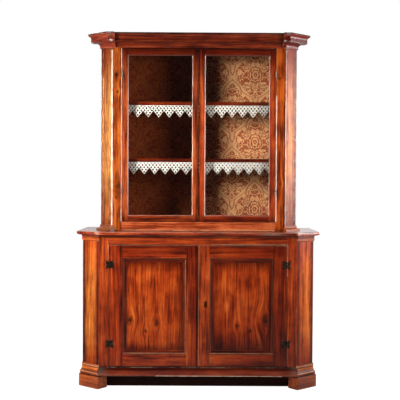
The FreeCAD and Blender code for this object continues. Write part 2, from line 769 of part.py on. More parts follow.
# One leaf of a butterfly hinge with its knuckles; outward is +1 for the frame leaf, -1 for the door leaf
def hinge_leaf(name, side, layout, front, z, outward, length, knuckles):
    direction = side * outward
    inner = "(barrel_radius + barrel_clearance)"
    face = [(inner, "-hinge_waist_height / 2"), (length, "-hinge_leaf_height / 2"),
            (f"{length} - hinge_notch", "0"), (length, "hinge_leaf_height / 2"),
            (inner, "hinge_waist_height / 2")]
    axis_x = mirrored(side, layout["hinge_x"])
    plate = prism(name + "_plate", [(mirrored(direction, x), y) for x, y in face],
                  "hinge_leaf_thickness", "XZ_Plane")
    pieces = [place(plate, axis_x, front, z)]
    for index, (low, high) in enumerate(knuckles):
        pieces.append(rod(f"{name}_knuckle_{index}", "barrel_radius", f"{high} - ({low})",
                          axis_x, layout["hinge_y"], f"{z} + {low}"))
        strap = ("0", f"{inner} + joint_gap") if direction > 0 else (f"-{inner} - joint_gap", "0")
        pieces.append(board(f"{name}_strap_{index}", tuple(f"{axis_x} + {x}" for x in strap),
                            (f"{front} - hinge_leaf_thickness", front), (f"{z} + {low}", f"{z} + {high}")))
    bore = rod(name + "_bore", "pin_radius + pin_clearance", "hinge_leaf_height",
               axis_x, layout["hinge_y"], f"{z} - hinge_leaf_height / 2")
    return cut(name, fused(name + "_whole", pieces), [bore])


outer_low, outer_high = "-hinge_waist_height / 2", "hinge_waist_height / 2"
third_low, third_high = "-hinge_waist_height / 6", "hinge_waist_height / 6"
frame_knuckles = [(outer_low, f"{third_low} - knuckle_gap"), (f"{third_high} + knuckle_gap", outer_high)]
door_knuckles = [(third_low, third_high)]

# Doors of the base
lower_doors = door_layout(lower, opening_half, rail_top, frieze_low,
                          ("lower_meeting_stile", "lower_hinge_stile"), ("lower_door_rail", "lower_top_rail"))
frame_leaves = []
lower_key_x = "(meeting_gap / 2 + key_inset_lower)"
lower_keyhole = keyhole("lower_keyhole", lower, lower_key_x, "lower_key_height")
panel_face = f"({lower['front']} + panel_recess)"
for side, hand in ((-1, "left"), (1, "right")):
    name = f"lower_{hand}_door"
    (x_low, x_high), (z_low, z_high) = lower_doors["inside_x"], lower_doors["inside_z"]
    panel = board(name + "_panel_stock", (f"{x_low} - panel_lap", f"{x_high} + panel_lap"),
                  (panel_face, f"{panel_face} + panel_thickness"),
                  (f"{z_low} - panel_lap", f"{z_high} + panel_lap"), side)
    node(door_frame(name, side, lower_doors, "tenon_length", [panel], lower_keyhole if side > 0 else [], []),
         name + "_frame")
    node(panel, name + "_panel")
    middle_x, middle_z = mirrored(side, f"({x_low} + {x_high}) / 2"), f"({z_low} + {z_high}) / 2"
    width, height = f"({x_high} - {x_low})", f"({z_high} - {z_low})"
    edge_x = [mirrored(side, x) for x in (x_low, x_high)]
    strips = [panel_strip(name + "_strip_bottom", width, middle_x, panel_face, z_low, "0"),
              panel_strip(name + "_strip_top", width, middle_x, panel_face, z_high, "180"),
              panel_strip(name + "_strip_inner", height, edge_x[0], panel_face, middle_z, f"{side} * 90"),
              panel_strip(name + "_strip_outer", height, edge_x[1], panel_face, middle_z, f"{side} * -90")]
    node(group(name + "_strips", strips), name + "_panel_moulding")
    door_leaves = []
    for height_name in ("hinge_low", "hinge_high"):
        leaf = f"{name}_{height_name}"
        door_leaves.append(hinge_leaf(leaf + "_door_leaf", side, lower_doors, lower["front"], height_name, -1,
                                      "hinge_door_leaf", door_knuckles))
        frame_leaves.append(hinge_leaf(leaf + "_frame_leaf", side, lower_doors, lower["front"],
                                       height_name, 1, "hinge_frame_leaf", frame_knuckles))
        frame_leaves.append(rod(leaf + "_pin", "pin_radius", "hinge_waist_height",
                                mirrored(side, lower_doors["hinge_x"]), lower_doors["hinge_y"],
                                f"{height_name} - hinge_waist_height / 2"))
    node(group(name + "_leaves", door_leaves), name + "_hinge_leaves")
node(group("lower_frame_leaves", frame_leaves), "lower_hinge_frame_leaves")
key_plate = board("key_plate_stock", (f"{lower_key_x} - plate_width / 2", f"{lower_key_x} + plate_width / 2"),
                  (f"{lower['front']} - plate_thickness", lower["front"]),
                  ("lower_key_height - keyhole_slit_drop / 2 - plate_height / 2",
                   "lower_key_height - keyhole_slit_drop / 2 + plate_height / 2"))
along_depth = runs_along(rearward)
node(cut("key_plate", eased(key_plate, "plate_corner", along_depth), lower_keyhole), "lower_keyhole_plate")
lock_case, lock_bolt = rim_lock("lower_lock", lower, "lower_case_width", "lower_key_height")
node(lock_case, "lower_lock_case")
node(lock_bolt, "lower_lock_bolt")
latch_plate, latch_bar = slide_latch("lower_latch", lower, "lower_meeting_stile", lower_doors["outside_z"][1])
node(latch_plate, "lower_left_latch_plate")
node(latch_bar, "lower_left_latch")

# Hutch carcass
glazed_half = "(upper_front_half - upper_stile_width)"
upper_depth = (upper["front"], upper["frame_back"])
base_rail, base_tenon = tenoned_rail("base_rail", (f"-{glazed_half}", glazed_half), upper_depth,
                                     (slab_top, base_rail_top), "upper_tenon_length")
head_rail, head_tenon = tenoned_rail("head_rail", (f"-{glazed_half}", glazed_half), upper_depth,
                                     (top_rail_low, hutch_top), "upper_tenon_length")
node(base_rail, "upper_base_rail")
node(head_rail, "upper_top_rail")
upper_doors = door_layout(upper, glazed_half, base_rail_top, top_rail_low,
                          ("upper_door_stile", "upper_door_stile"),
                          ("upper_door_rail", "upper_door_top_rail"))


# Spike of a hinge barrel, driven back and sideways into the wood beside the gap
def barrel_spike(name, side, outward, z):
    angle = math.radians(value("spike_angle"))
    lean = side * outward * math.sin(angle)
    axis = FreeCAD.Vector(-math.cos(angle), lean, 0)
    return rod(name, "spike_radius", "spike_length", mirrored(side, upper_doors["hinge_x"]),
               upper_doors["hinge_y"], z, "90", axis)


# Half barrels on spikes: the frame half carries the pin, the door half turns on it
frame_barrels = []
frame_spikes = []
door_barrels = {-1: [], 1: []}
door_spikes = {-1: [], 1: []}
for side, hand in ((-1, "left"), (1, "right")):
    axis_x, axis_y = mirrored(side, upper_doors["hinge_x"]), upper_doors["hinge_y"]
    door_low, door_top = upper_doors["outside_z"]
    for level, height in (("low", f"({door_low} + upper_hinge_foot_rise)"),
                          ("high", f"({door_top} - upper_hinge_head_drop)")):
        name = f"{hand}_upper_hinge_{level}"
        half_height = "barrel_half_height - knuckle_gap / 2"
        frame_spike = barrel_spike(name + "_frame_spike", side, 1, f"{height} - barrel_half_height / 2")
        door_spike = barrel_spike(name + "_door_spike", side, -1, f"{height} + barrel_half_height / 2")
        frame_barrel = rod(name + "_frame_barrel", "barrel_radius", half_height, axis_x, axis_y,
                           f"{height} - barrel_half_height")
        pin = rod(name + "_pin", "pin_radius", "2 * barrel_half_height", axis_x, axis_y,
                  f"{height} - barrel_half_height")
        door_barrel = rod(name + "_door_barrel", "barrel_radius", half_height, axis_x, axis_y,
                          f"{height} + knuckle_gap / 2")
        bore = rod(name + "_bore", "pin_radius + pin_clearance", "barrel_half_height", axis_x, axis_y, height)
        frame_barrels.append(fused(name + "_frame_half", [frame_barrel, pin, frame_spike]))
        door_whole = fused(name + "_door_whole", [door_barrel, door_spike])
        door_barrels[side].append(cut(name + "_door_half", door_whole, [bore]))
        frame_spikes.append(frame_spike)
        door_spikes[side].append(door_spike)
node(group("upper_frame_barrels", frame_barrels), "upper_hinge_frame_barrels")
node(group("upper_stile_pair", front_stiles("upper_stile", upper, "upper_stile_width", slab_top, hutch_top,
                                            [base_tenon, head_tenon] + frame_spikes)), "upper_front_stiles")
upper_side_depth = (upper["corner"], back_face)
node(group("upper_side_pair", [
    board(f"upper_side_{side + 1}", (upper["inner"], upper["half"]), upper_side_depth,
          (slab_top, hutch_top), side) for side in (-1, 1)]), "upper_sides")
node(board("upper_back_stock", (f"-{upper['inner']}", upper["inner"]), (hutch_back, back_face),
           (slab_top, hutch_top)), "upper_back")
node(board("lining_stock", (f"-{upper['inner']}", upper["inner"]), (lining_face, hutch_back),
           (base_rail_top, f"{hutch_top} - upper_board_thickness")), "damask_lining")
node(inner_board("upper_top_stock", upper, "0", hutch_back, f"{hutch_top} - upper_board_thickness",
                 "upper_board_thickness"), "upper_top_board")
node(inner_board("upper_floor_stock", upper, "0", hutch_back, f"{base_rail_top} - upper_board_thickness",
                 "upper_board_thickness"), "upper_floor_board")
upper_cleats = []
for label in ("high", "low"):
    shelf_low = f"({label}_shelf_top - upper_shelf_thickness)"
    shelf = inner_board(f"{label}_shelf_stock", upper, "upper_shelf_setback", lining_face, shelf_low,
                        "upper_shelf_thickness")
    node(eased(shelf, "arris_round", crosswise), f"upper_{label}_shelf")
    upper_cleats += shelf_cleats(f"{label}_cleat", upper, "upper_shelf_setback", shelf_low, lining_face)
node(group("upper_cleat_set", upper_cleats), "upper_shelf_cleats")
base_neck_low = "base_block_height + edge_step"
base_top = "(base_block_height + base_neck_height + base_fillet_height)"
base_stations = (
    [("0", "base_block_reach"), ("base_block_height", "base_block_reach")]
    + cove_stations(base_neck_low, "base_neck_height", "base_block_reach * base_neck_share",
                    "base_neck_reach")
    + [(f"{base_neck_low} + base_neck_height + edge_step", "base_fillet_reach"),
       (f"{base_top} - edge_step", "base_fillet_reach"), (base_top, "base_fillet_reach * base_edge_share")])
node(group("upper_posts", [canted_post(f"upper_post_{side + 1}", upper, side, "upper_groove_inset", slab_top,
                                       hutch_top) for side in (-1, 1)]), "upper_canted_posts")
node(group("upper_post_base_pair", [
    wrapped_moulding(f"upper_base_{side + 1}", upper, side, slab_top, base_stations)
    for side in (-1, 1)]), "upper_post_bases")

# Cornice profile from its foot on the frame up to the top fillet
corona_top = "(-cornice_fillet_drop - cornice_ovolo_drop)"
corona_low = f"({corona_top} - cornice_corona_drop)"
soffit = f"({corona_low} - cornice_step_drop)"
cove_low = f"({soffit} - cornice_cove_drop)"
cornice_low = f"(-{cornice_drop})"
cornice_profile = [("0", "0"), ("0", cornice_low), ("cornice_foot_reach", cornice_low),
                   ("cornice_foot_reach", cove_low, "cove_bulge"), ("cornice_soffit_reach", soffit),
                   ("cornice_step_reach", soffit), ("cornice_step_reach", corona_low),
                   ("cornice_corona_reach", corona_low), ("cornice_corona_reach", corona_top, "cove_bulge"),
                   ("cornice_reach", "-cornice_fillet_drop"), ("cornice_reach", "0")]
cornice_size = ("cornice_reach", cornice_drop)

# The middle of the cornice lies back from the blocks that break forward over the corners
middle_profile = cornice_profile[:2] + [
    (f"max({reach} - cornice_break; cornice_least_reach)", *rest) for reach, *rest in cornice_profile[2:]]
middle_half = "(upper_front_half - cornice_break_width)"
node(front_length("cornice_middle", upper, middle_profile, cornice_size, "total_height",
                  f"-{middle_half}", middle_half, ("0", "0")), "cornice_front")
cornice_ends = corner_lengths("cornice", upper, cornice_profile, cornice_size, "total_height",
                              "cornice_return")
cornice_ends += [front_length(f"cornice_block_{side + 1}", upper, cornice_profile, cornice_size,
                              "total_height", middle_half, "upper_front_half", ("0", front_mitre), side)
                 for side in (-1, 1)]
node(group("cornice_end_set", cornice_ends), "cornice_ends")


# Window through a glazed door, wider at the front so that its edge is chamfered all round
def sight_window(name, side, layout):
    window = doc.addObject("Part::Wedge", name)
    (x_low, x_high), (z_low, z_high) = layout["inside_x"], layout["inside_z"]
    x_ends = (x_low, x_high) if side > 0 else (f"-{x_high}", f"-{x_low}")
    bind(window, {
        "Xmin": f"{x_ends[0]} - sight_chamfer", "Xmax": f"{x_ends[1]} + sight_chamfer",
        "Zmin": f"{z_low} - sight_chamfer", "Zmax": f"{z_high} + sight_chamfer",
        "X2min": x_ends[0], "X2max": x_ends[1], "Z2min": z_low, "Z2max": z_high,
        "Ymin": "0", "Ymax": "sight_chamfer"})
    return place(window, y=layout["depth"][0])


# Four beads that hold a pane in its rebate from behind
def glazing_beads(name, side, x, z, depth):
    inner_x = (f"{x[0]} + rebate_width", f"{x[1]} - rebate_width")
    spans = [("inner", (x[0], inner_x[0]), z), ("outer", (inner_x[1], x[1]), z),
             ("bottom", inner_x, (z[0], f"{z[0]} + rebate_width")),
             ("top", inner_x, (f"{z[1]} - rebate_width", z[1]))]
    return [board(f"{name}_{label}", span_x, depth, span_z, side) for label, span_x, span_z in spans]


# Doors of the hutch
upper_key_x = "(meeting_gap / 2 + key_inset_upper)"
upper_keyhole = keyhole("upper_keyhole", upper, upper_key_x, "upper_key_height")
shoulder = f"({upper['frame_back']} - rebate_depth)"
pane_back = f"({shoulder} + glass_thickness)"
for side, hand in ((-1, "left"), (1, "right")):
    name = f"upper_{hand}_door"
    (x_low, x_high), (z_low, z_high) = upper_doors["inside_x"], upper_doors["inside_z"]
    rebate_x = (f"({x_low} - rebate_width)", f"({x_high} + rebate_width)")
    rebate_z = (f"({z_low} - rebate_width)", f"({z_high} + rebate_width)")
    rebate_y = (shoulder, f"{upper['frame_back']} + joint_gap")
    rebate = board(name + "_rebate", rebate_x, rebate_y, rebate_z, side)
    window = sight_window(name + "_window", side, upper_doors)
    node(door_frame(name, side, upper_doors, "upper_tenon_length", [rebate, window],
                    upper_keyhole if side > 0 else [], door_spikes[side]), name + "_frame")
    pane_x = tuple(f"{x} {sign} joint_gap" for x, sign in zip(rebate_x, "+-"))
    pane_z = tuple(f"{z} {sign} joint_gap" for z, sign in zip(rebate_z, "+-"))
    node(board(name + "_pane", pane_x, (shoulder, pane_back), pane_z, side), name + "_glass")
    beads = glazing_beads(name + "_bead", side, rebate_x, rebate_z, (pane_back, upper["frame_back"]))
    node(group(name + "_beads", beads), name + "_glass_beads")
    node(group(name + "_barrels", door_barrels[side]), name + "_hinge_barrels")
lock_case, lock_bolt = rim_lock("upper_lock", upper, "upper_case_width", "upper_key_height")
node(lock_case, "upper_lock_case")
node(lock_bolt, "upper_lock_bolt")
latch_plate, latch_bar = slide_latch("upper_latch", upper, "upper_door_stile", upper_doors["outside_z"][1])
node(latch_plate, "upper_left_latch_plate")
node(latch_bar, "upper_left_latch")


# Gaps in each row of the net across one point of the lace, from its top down
lace_row_holes = (2, 3, 2, 1)


# Lace edging: a netted band with a row of points, laid on the front of a shelf
def lace_edging(name, shelf_top, left_end):
    limit = value("upper_front_half - lace_end_gap")
    pitch, band, drop = value("lace_pitch"), value("lace_band"), value("lace_drop")
    hole, hole_pitch = value("lace_hole"), value("lace_hole_pitch")
    top = value(f"{shelf_top} - upper_shelf_thickness + lace_lap")
    face_y = value(f"{upper['frame_back']} + upper_shelf_setback - lace_thickness")
    start = -value(left_end)
    count = int((limit - start) // pitch)
    spots = [(start, top), (start, top - band)]
    holes = []
    for index in range(count):
        centre = start + (index + 0.5) * pitch
        spots += [(centre, top - band - drop), (centre + pitch / 2, top - band)]
        for row, across in enumerate(lace_row_holes):
            z = top - value("lace_first_row") - row * value("lace_row_pitch")
            holes += [(centre + (step - (across - 1) / 2) * hole_pitch, z) for step in range(across)]
    spots.append((start + count * pitch, top))

    def ring(points):
        return Part.makePolygon([FreeCAD.Vector(x, face_y, z) for x, z in points + points[:1]])

    diamonds = [ring([(x - hole, z), (x, z - hole), (x + hole, z), (x, z + hole)]) for x, z in holes]
    item = doc.addObject("Part::Feature", name)
    net = Part.makeFace([ring(spots)] + diamonds, "Part::FaceMakerBullseye")
    item.Shape = net.extrude(FreeCAD.Vector(0, value("lace_thickness"), 0))
    print(name, "gaps", len(diamonds))
    return item


for label in ("high", "low"):
    node(lace_edging(f"{label}_lace", f"{label}_shelf_top", f"{label}_lace_start"), f"lace_{label}")

# Every object is sound before any file is written
doc.recompute()
for item in doc.Objects:
    if "Invalid" in item.State or "Error" in item.State:
        raise RuntimeError(f"{item.Label} did not build: {item.State}")
for item in nodes:
    if item.Shape.isNull() or not item.Shape.isValid() or not item.Shape.Solids:
        raise RuntimeError(f"{item.Label} is not a sound solid")
os.makedirs("parts", exist_ok=True)
for item in nodes:
    item.Shape.exportStep(f"parts/{item.Label}.step")
print(len(nodes), "sub-parts written")
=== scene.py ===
import bpy
import math
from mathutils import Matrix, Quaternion, Vector


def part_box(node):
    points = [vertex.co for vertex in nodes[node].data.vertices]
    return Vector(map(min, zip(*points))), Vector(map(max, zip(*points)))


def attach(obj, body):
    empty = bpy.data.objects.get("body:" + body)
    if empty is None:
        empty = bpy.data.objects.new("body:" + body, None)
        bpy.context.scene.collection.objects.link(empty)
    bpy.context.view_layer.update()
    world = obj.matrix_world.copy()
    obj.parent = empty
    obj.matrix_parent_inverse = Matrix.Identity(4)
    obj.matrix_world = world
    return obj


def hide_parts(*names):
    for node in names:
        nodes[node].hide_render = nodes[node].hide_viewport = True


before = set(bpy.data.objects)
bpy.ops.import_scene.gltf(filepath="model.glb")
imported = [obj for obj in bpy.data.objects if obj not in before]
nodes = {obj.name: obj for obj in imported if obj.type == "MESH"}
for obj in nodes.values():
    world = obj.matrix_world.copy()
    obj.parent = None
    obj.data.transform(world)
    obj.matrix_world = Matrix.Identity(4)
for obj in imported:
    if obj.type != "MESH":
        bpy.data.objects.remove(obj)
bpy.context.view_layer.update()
scene = bpy.context.scene
print("frame loaded:", len(nodes), "CAD nodes")


def linearFromHex(text):
    parts = [int(text[i:i + 2], 16) / 255 for i in (1, 3, 5)]
    linear = [part / 12.92 if part <= 0.04045 else ((part + 0.055) / 1.055) ** 2.4 for part in parts]
    return (*linear, 1.0)


# adds one node; an input is a constant, a hex colour, an output, or a node that gives its first live output
def addNode(tree, kind, inputs=None, stops=None, **settings):
    node = tree.nodes.new("ShaderNode" + kind)
    for name, setting in settings.items():
        setattr(node, name, setting)
    for socket, source in (inputs or {}).items():
        if isinstance(source, bpy.types.Node):
            source = next(output for output in source.outputs if output.enabled)
        if isinstance(source, bpy.types.NodeSocket):
            tree.links.new(source, node.inputs[socket])
        else:
            node.inputs[socket].default_value = linearFromHex(source) if isinstance(source, str) else source
    if stops:  # place and hex colour of each stop of a ramp
        ramp = node.color_ramp.elements
        while len(ramp) < len(stops):
            ramp.new(0.5)
        for element, (position, hexText) in zip(ramp, stops):
            element.position = position
            element.color = linearFromHex(hexText)
    return node


def newMaterial(name):
    material = bpy.data.materials.new(name)
    material.use_nodes = True
    material.node_tree.nodes.clear()
    return material, material.node_tree


def dress(material, names):
    for name in names:
        slots = nodes[name].data.materials
        slots.clear()
        slots.append(material)


# a plain surface: one noise gives both its tone and its relief
def plainSurface(title, look):
    material, tree = newMaterial(title)
    where = addNode(tree, "TexCoord").outputs["Object"]
    speck = addNode(tree, "TexNoise", {"Vector": where, "Scale": 1000 / look["speckMm"],
                                       "Detail": look["detail"]})
    tone = addNode(tree, "ValToRGB", {"Fac": speck}, look["stops"])
    relief = addNode(tree, "Bump", {"Height": speck, "Strength": look["bump"], "Distance": look["reliefM"]})
    skin = addNode(tree, "BsdfPrincipled", {"Base Color": tone, "Normal": relief, **look["sockets"]})
    addNode(tree, "OutputMaterial", {"Surface": skin})
    return material


# camera fitted to the cupboard's corners in the photograph
cameraSet = {
    "place": (-0.0028, -5.212, 1.2658),
    "focalPx": 807.25,  # of a frame 400 px wide
    "framePx": 400,
    "sensorMm": 36.0,
    "pitchDeg": 1.139,  # down
    "yawDeg": -0.142,
    "rollDeg": 0.3,
}
cameraData = bpy.data.cameras.new("photoCamera")
cameraData.sensor_width = cameraSet["sensorMm"]
cameraData.lens = cameraSet["focalPx"] / cameraSet["framePx"] * cameraSet["sensorMm"]
camera = bpy.data.objects.new("photoCamera", cameraData)
scene.collection.objects.link(camera)
yaw, pitch, roll = (math.radians(cameraSet[key]) for key in ("yawDeg", "pitchDeg", "rollDeg"))
sight = Vector((-math.sin(yaw) * math.cos(pitch), math.cos(yaw) * math.cos(pitch), -math.sin(pitch)))
camera.location = cameraSet["place"]
camera.rotation_mode = "QUATERNION"
camera.rotation_quaternion = sight.to_track_quat("-Z", "Y") @ Quaternion((0, 0, 1), roll)
scene.camera = camera
scene.view_settings.view_transform = "Standard"
print("camera set")

# studio: white behind the cupboard, a dim room before it, soft boxes at a slant from both sides
studio = {
    "whiteHex": "#FFFFFF",
    "roomHex": "#8C8884",
    "roomStrength": 0.32,
    "behindY": (-0.1, 0.5),  # from where to where a mirrored ray turns from the room to the white
    "floorHex": "#E9E7E4",
    "floorSizeM": 14.0,
    "floorShare": 0.76,  # share of glow that the camera sees in the floor
    "floorGlow": 1.29,
    "boxes": {
        "leftBox": {"place": (-3.35, -2.1, 1.9), "aim": (-0.25, -0.12, 1.55), "size": (0.38, 0.38),
                    "watts": 17, "spreadDeg": 34, "mirrored": False},
        "rightBox": {"place": (3.6, -1.95, 1.7), "aim": (0.3, -0.2, 1.55), "size": (0.6, 0.6),
                     "watts": 12.0, "spreadDeg": 44, "mirrored": False},
        "rightRim": {"place": (3.1, -0.55, 1.65), "aim": (0.6, -0.1, 1.4), "size": (0.4, 1.5),
                     "watts": 84, "spreadDeg": 180, "mirrored": True},
        "lowLeftBox": {"place": (-1.9, -2.1, 2.0), "aim": (-0.22, -0.25, 0.32), "size": (0.5, 0.5),
                       "watts": 5.8, "spreadDeg": 40, "mirrored": False},
        "leftRim": {"place": (-3.1, -0.85, 0.5), "aim": (-0.72, -0.2, 0.34), "size": (0.4, 0.8),
                    "watts": 2.8, "spreadDeg": 44, "mirrored": False},
        "backBox": {"place": (0.4, 3.4, 3.3), "aim": (0.0, 0.29, 1.1), "size": (2.0, 2.0),
                    "watts": 70, "spreadDeg": 180, "mirrored": True},
    },
}
for boxName, box in studio["boxes"].items():
    lampData = bpy.data.lights.new(boxName, "AREA")
    lampData.shape = "RECTANGLE"
    lampData.size, lampData.size_y = box["size"]
    lampData.energy = box["watts"]
    lampData.spread = math.radians(box["spreadDeg"])
    lamp = bpy.data.objects.new(boxName, lampData)
    lamp.location = box["place"]
    lamp.visible_glossy = box["mirrored"]  # the gridded boxes leave no glare
    lamp.rotation_mode = "QUATERNION"
    lamp.rotation_quaternion = (Vector(box["aim"]) - Vector(box["place"])).to_track_quat("-Z", "Y")
    scene.collection.objects.link(lamp)

world = bpy.data.worlds.new("studioWorld")
scene.world = world
world.use_nodes = True
tree = world.node_tree
tree.nodes.clear()
path = addNode(tree, "LightPath").outputs
direction = addNode(tree, "TexCoord").outputs["Generated"]
split = addNode(tree, "SeparateXYZ", {0: direction})
low, high = studio["behindY"]
behind = addNode(tree, "MapRange", {"Value": split.outputs["Y"], "From Min": low, "From Max": high})
mirrored = addNode(tree, "Math", {0: path["Is Glossy Ray"], 1: path["Is Transmission Ray"]},
                   operation="MAXIMUM")
mirroredBehind = addNode(tree, "Math", {0: mirrored, 1: behind}, operation="MULTIPLY")
seenWhite = addNode(tree, "Math", {0: path["Is Camera Ray"], 1: mirroredBehind}, operation="MAXIMUM")
room = addNode(tree, "Background", {"Color": studio["roomHex"], "Strength": studio["roomStrength"]})
white = addNode(tree, "Background", {"Color": studio["whiteHex"], "Strength": 1.0})
mixed = addNode(tree, "MixShader", {0: seenWhite, 1: room, 2: white})
addNode(tree, "OutputWorld", {"Surface": mixed})

# rolled matt paint: pale and without gloss, with the cupboard's shadow on it
bpy.ops.mesh.primitive_plane_add(size=studio["floorSizeM"])
floor = bpy.context.object
floor.name = "studioFloor"
floorPaint, tree = newMaterial("matt floor paint, rolled")
plain = addNode(tree, "BsdfDiffuse", {"Color": studio["floorHex"]})
glow = addNode(tree, "Emission", {"Color": studio["whiteHex"], "Strength": studio["floorGlow"]})
path = addNode(tree, "LightPath").outputs
share = addNode(tree, "Math", {0: path["Is Camera Ray"], 1: studio["floorShare"]}, operation="MULTIPLY")
mixed = addNode(tree, "MixShader", {0: share, 1: plain, 2: glow})
addNode(tree, "OutputMaterial", {"Surface": mixed})
floor.data.materials.append(floorPaint)
print("studio lit:", len(studio["boxes"]), "soft boxes")

# walnut under old shellac: red-brown boards with streaky figure and a warm gloss, dirt and painted shade in
# the corners, and pale bare wood and painted highlights on rubbed edges. The grain is drawn coarser than life
# so that it shows.
# A range gives the measure at which an effect begins and the one at which it is full.
grain = {
    "fibreMm": (8.0, 190.0),  # across and along the grain
    "bandMm": (34.0, 700.0),
    "poreMm": (3.0, 26.0),
    "flameMm": (70.0, 380.0),
    "flameWander": 1.6,
    "cloudMm": 90.0,
    "noiseRough": 0.6,
    "poreRange": (0.42, 0.30),
    "poreDark": 0.45,
    "dirtShadeReachMm": 34.0,
    "dirtShadeRange": (0.80, 0.25),  # share of open sky over a place
    "wearReachMm": 4.0,
    "edgeRange": (0.985, 0.86),  # how far the rounded and the flat normal agree
    "proudRange": (0.62, 0.9),  # share of open sky again
    "wearPatchMm": 40.0,
    "wearRange": (0.42, 0.62),
    "patchGain": 2.0,  # makes up for the noise, which averages one half
    "lineRange": (0.3, 0.55),
    "lineLeast": 0.4,  # share of its strength that a pale line keeps everywhere
    "roughRange": (0.3, 0.7),
    "coatRough": 0.2,
    "reliefM": 0.002,
    "cantDeg": 40.0,  # of the corners, from the front
}
knotShape = {  # lengths in radii of the knot
    "squash": 0.7,  # knots are taller than wide
    "reach": 4.0,
    "bend": -0.85,  # below 0 the grain spreads round the knot
    "ripples": 0.9,  # noise waves in a radius
    "fray": 2.2,
    "coreRange": (2.5, 1.0),
    "dark": 0.95,
}
shellacWood = {
    "tones": ("#200703", "#4E1506", "#74250C", "#8E3712", "#AA521F"),
    "tonesAt": (0.0, 0.3, 0.52, 0.75, 1.0),
    "seed": (0.0, 0.0, 0.0),
    "along": "Z",
    "turnX": None,  # between these x values the board lies across
    "turnZ": None,  # outside these z values the board lies across
    "tintAndSideLight": ("#FFFFFF", "#FFFFFF"),  # left and right half; where they differ, painted light and shade
    "paintedShades": [],  # painted shade: axis (side: distance from the middle), low, high and tints between them
    "wearAndHighlightHex": "#C89A78",
    "wearAndHighlight": 0.45,
    "darkHex": "#140503",
    "dirtAndShade": 0.85,
    "knots": [],  # x, z and radius in m
    "patches": [],  # x, y, z, radius in mm and strength of a pale place; wear in some looks, a painted highlight or reflection in others
    "lines": [],  # axis, place, half width, span across it and strength of a pale line; worn edges and painted highlights
    "figure": (0.34, 0.40, 0.08, 0.18),  # shares of broad bands, fibres, flames and clouds
    "spread": (0.36, 0.64),
    "rough": (0.28, 0.46),
    "coat": 0.12,
    "shine": 0.25,
    "bump": 0.12,
}


# coordinates of a board: across its width, through its thickness and along its grain
def boardAxes(tree, x, y, z, look):
    if look["along"] == "X":
        return z, y, x
    if look["along"] == "cant":  # level, along the canted corners
        side = addNode(tree, "Math", {0: x}, operation="ABSOLUTE")
        corner = addNode(tree, "CombineXYZ", {0: side, 1: y, 2: z})
        turned = addNode(tree, "VectorRotate", {"Vector": corner, "Angle": -math.radians(grain["cantDeg"])},
                         rotation_type="Z_AXIS")
        along, depth, across = addNode(tree, "SeparateXYZ", {0: turned}).outputs
        return across, depth, along
    if not (look["turnX"] or look["turnZ"]):
        return x, y, z
    if look["turnX"]:
        measured, (low, high), tests = x, look["turnX"], ("GREATER_THAN", "LESS_THAN", "MULTIPLY")
    else:
        measured, (low, high), tests = z, look["turnZ"], ("LESS_THAN", "GREATER_THAN", "MAXIMUM")
    first = addNode(tree, "Math", {0: measured, 1: low}, operation=tests[0])
    second = addNode(tree, "Math", {0: measured, 1: high}, operation=tests[1])
    turned = addNode(tree, "Math", {0: first, 1: second}, operation=tests[2])
    across = addNode(tree, "Mix", {0: turned, 2: x, 3: z}, data_type="FLOAT")
    along = addNode(tree, "Mix", {0: turned, 2: z, 3: x}, data_type="FLOAT")
    return across, y, along


# grain bends round each knot; returns the bent coordinate and the dark of the cores
def bentByKnots(tree, x, z, across, knots):
    dark = None
    squash, (rim, heart) = knotShape["squash"], knotShape["coreRange"]
    for knotX, knotZ, radius in knots:
        flat = addNode(tree, "CombineXYZ", {0: x, 2: z})
        flat = addNode(tree, "VectorMath", {0: flat, 1: (1.0, 0.0, squash)}, operation="MULTIPLY")
        far = addNode(tree, "VectorMath", {0: flat, 1: (knotX, 0, knotZ * squash)}, operation="DISTANCE")
        near = addNode(tree, "MapRange", {"Value": far, "From Min": radius * knotShape["reach"],
                                          "From Max": 0.0}, interpolation_type="SMOOTHERSTEP")
        aside = addNode(tree, "Math", {0: x, 1: knotX}, operation="SUBTRACT")
        push = addNode(tree, "Math", {0: near, 1: aside}, operation="MULTIPLY")
        across = addNode(tree, "Math", {0: push, 1: knotShape["bend"], 2: across}, operation="MULTIPLY_ADD")
        ripple = addNode(tree, "TexNoise", {"Vector": flat, "Scale": knotShape["ripples"] / radius,
                                            "Detail": 3.0})
        ragged = addNode(tree, "Math", {0: ripple, 1: radius * knotShape["fray"], 2: far},
                         operation="MULTIPLY_ADD")
        core = addNode(tree, "MapRange", {
            "Value": ragged, "From Min": radius * rim, "From Max": radius * heart,
            "To Max": knotShape["dark"]}, interpolation_type="SMOOTHSTEP")
        dark = core if dark is None else addNode(tree, "Math", {0: dark, 1: core}, operation="MAXIMUM")
    return across, dark


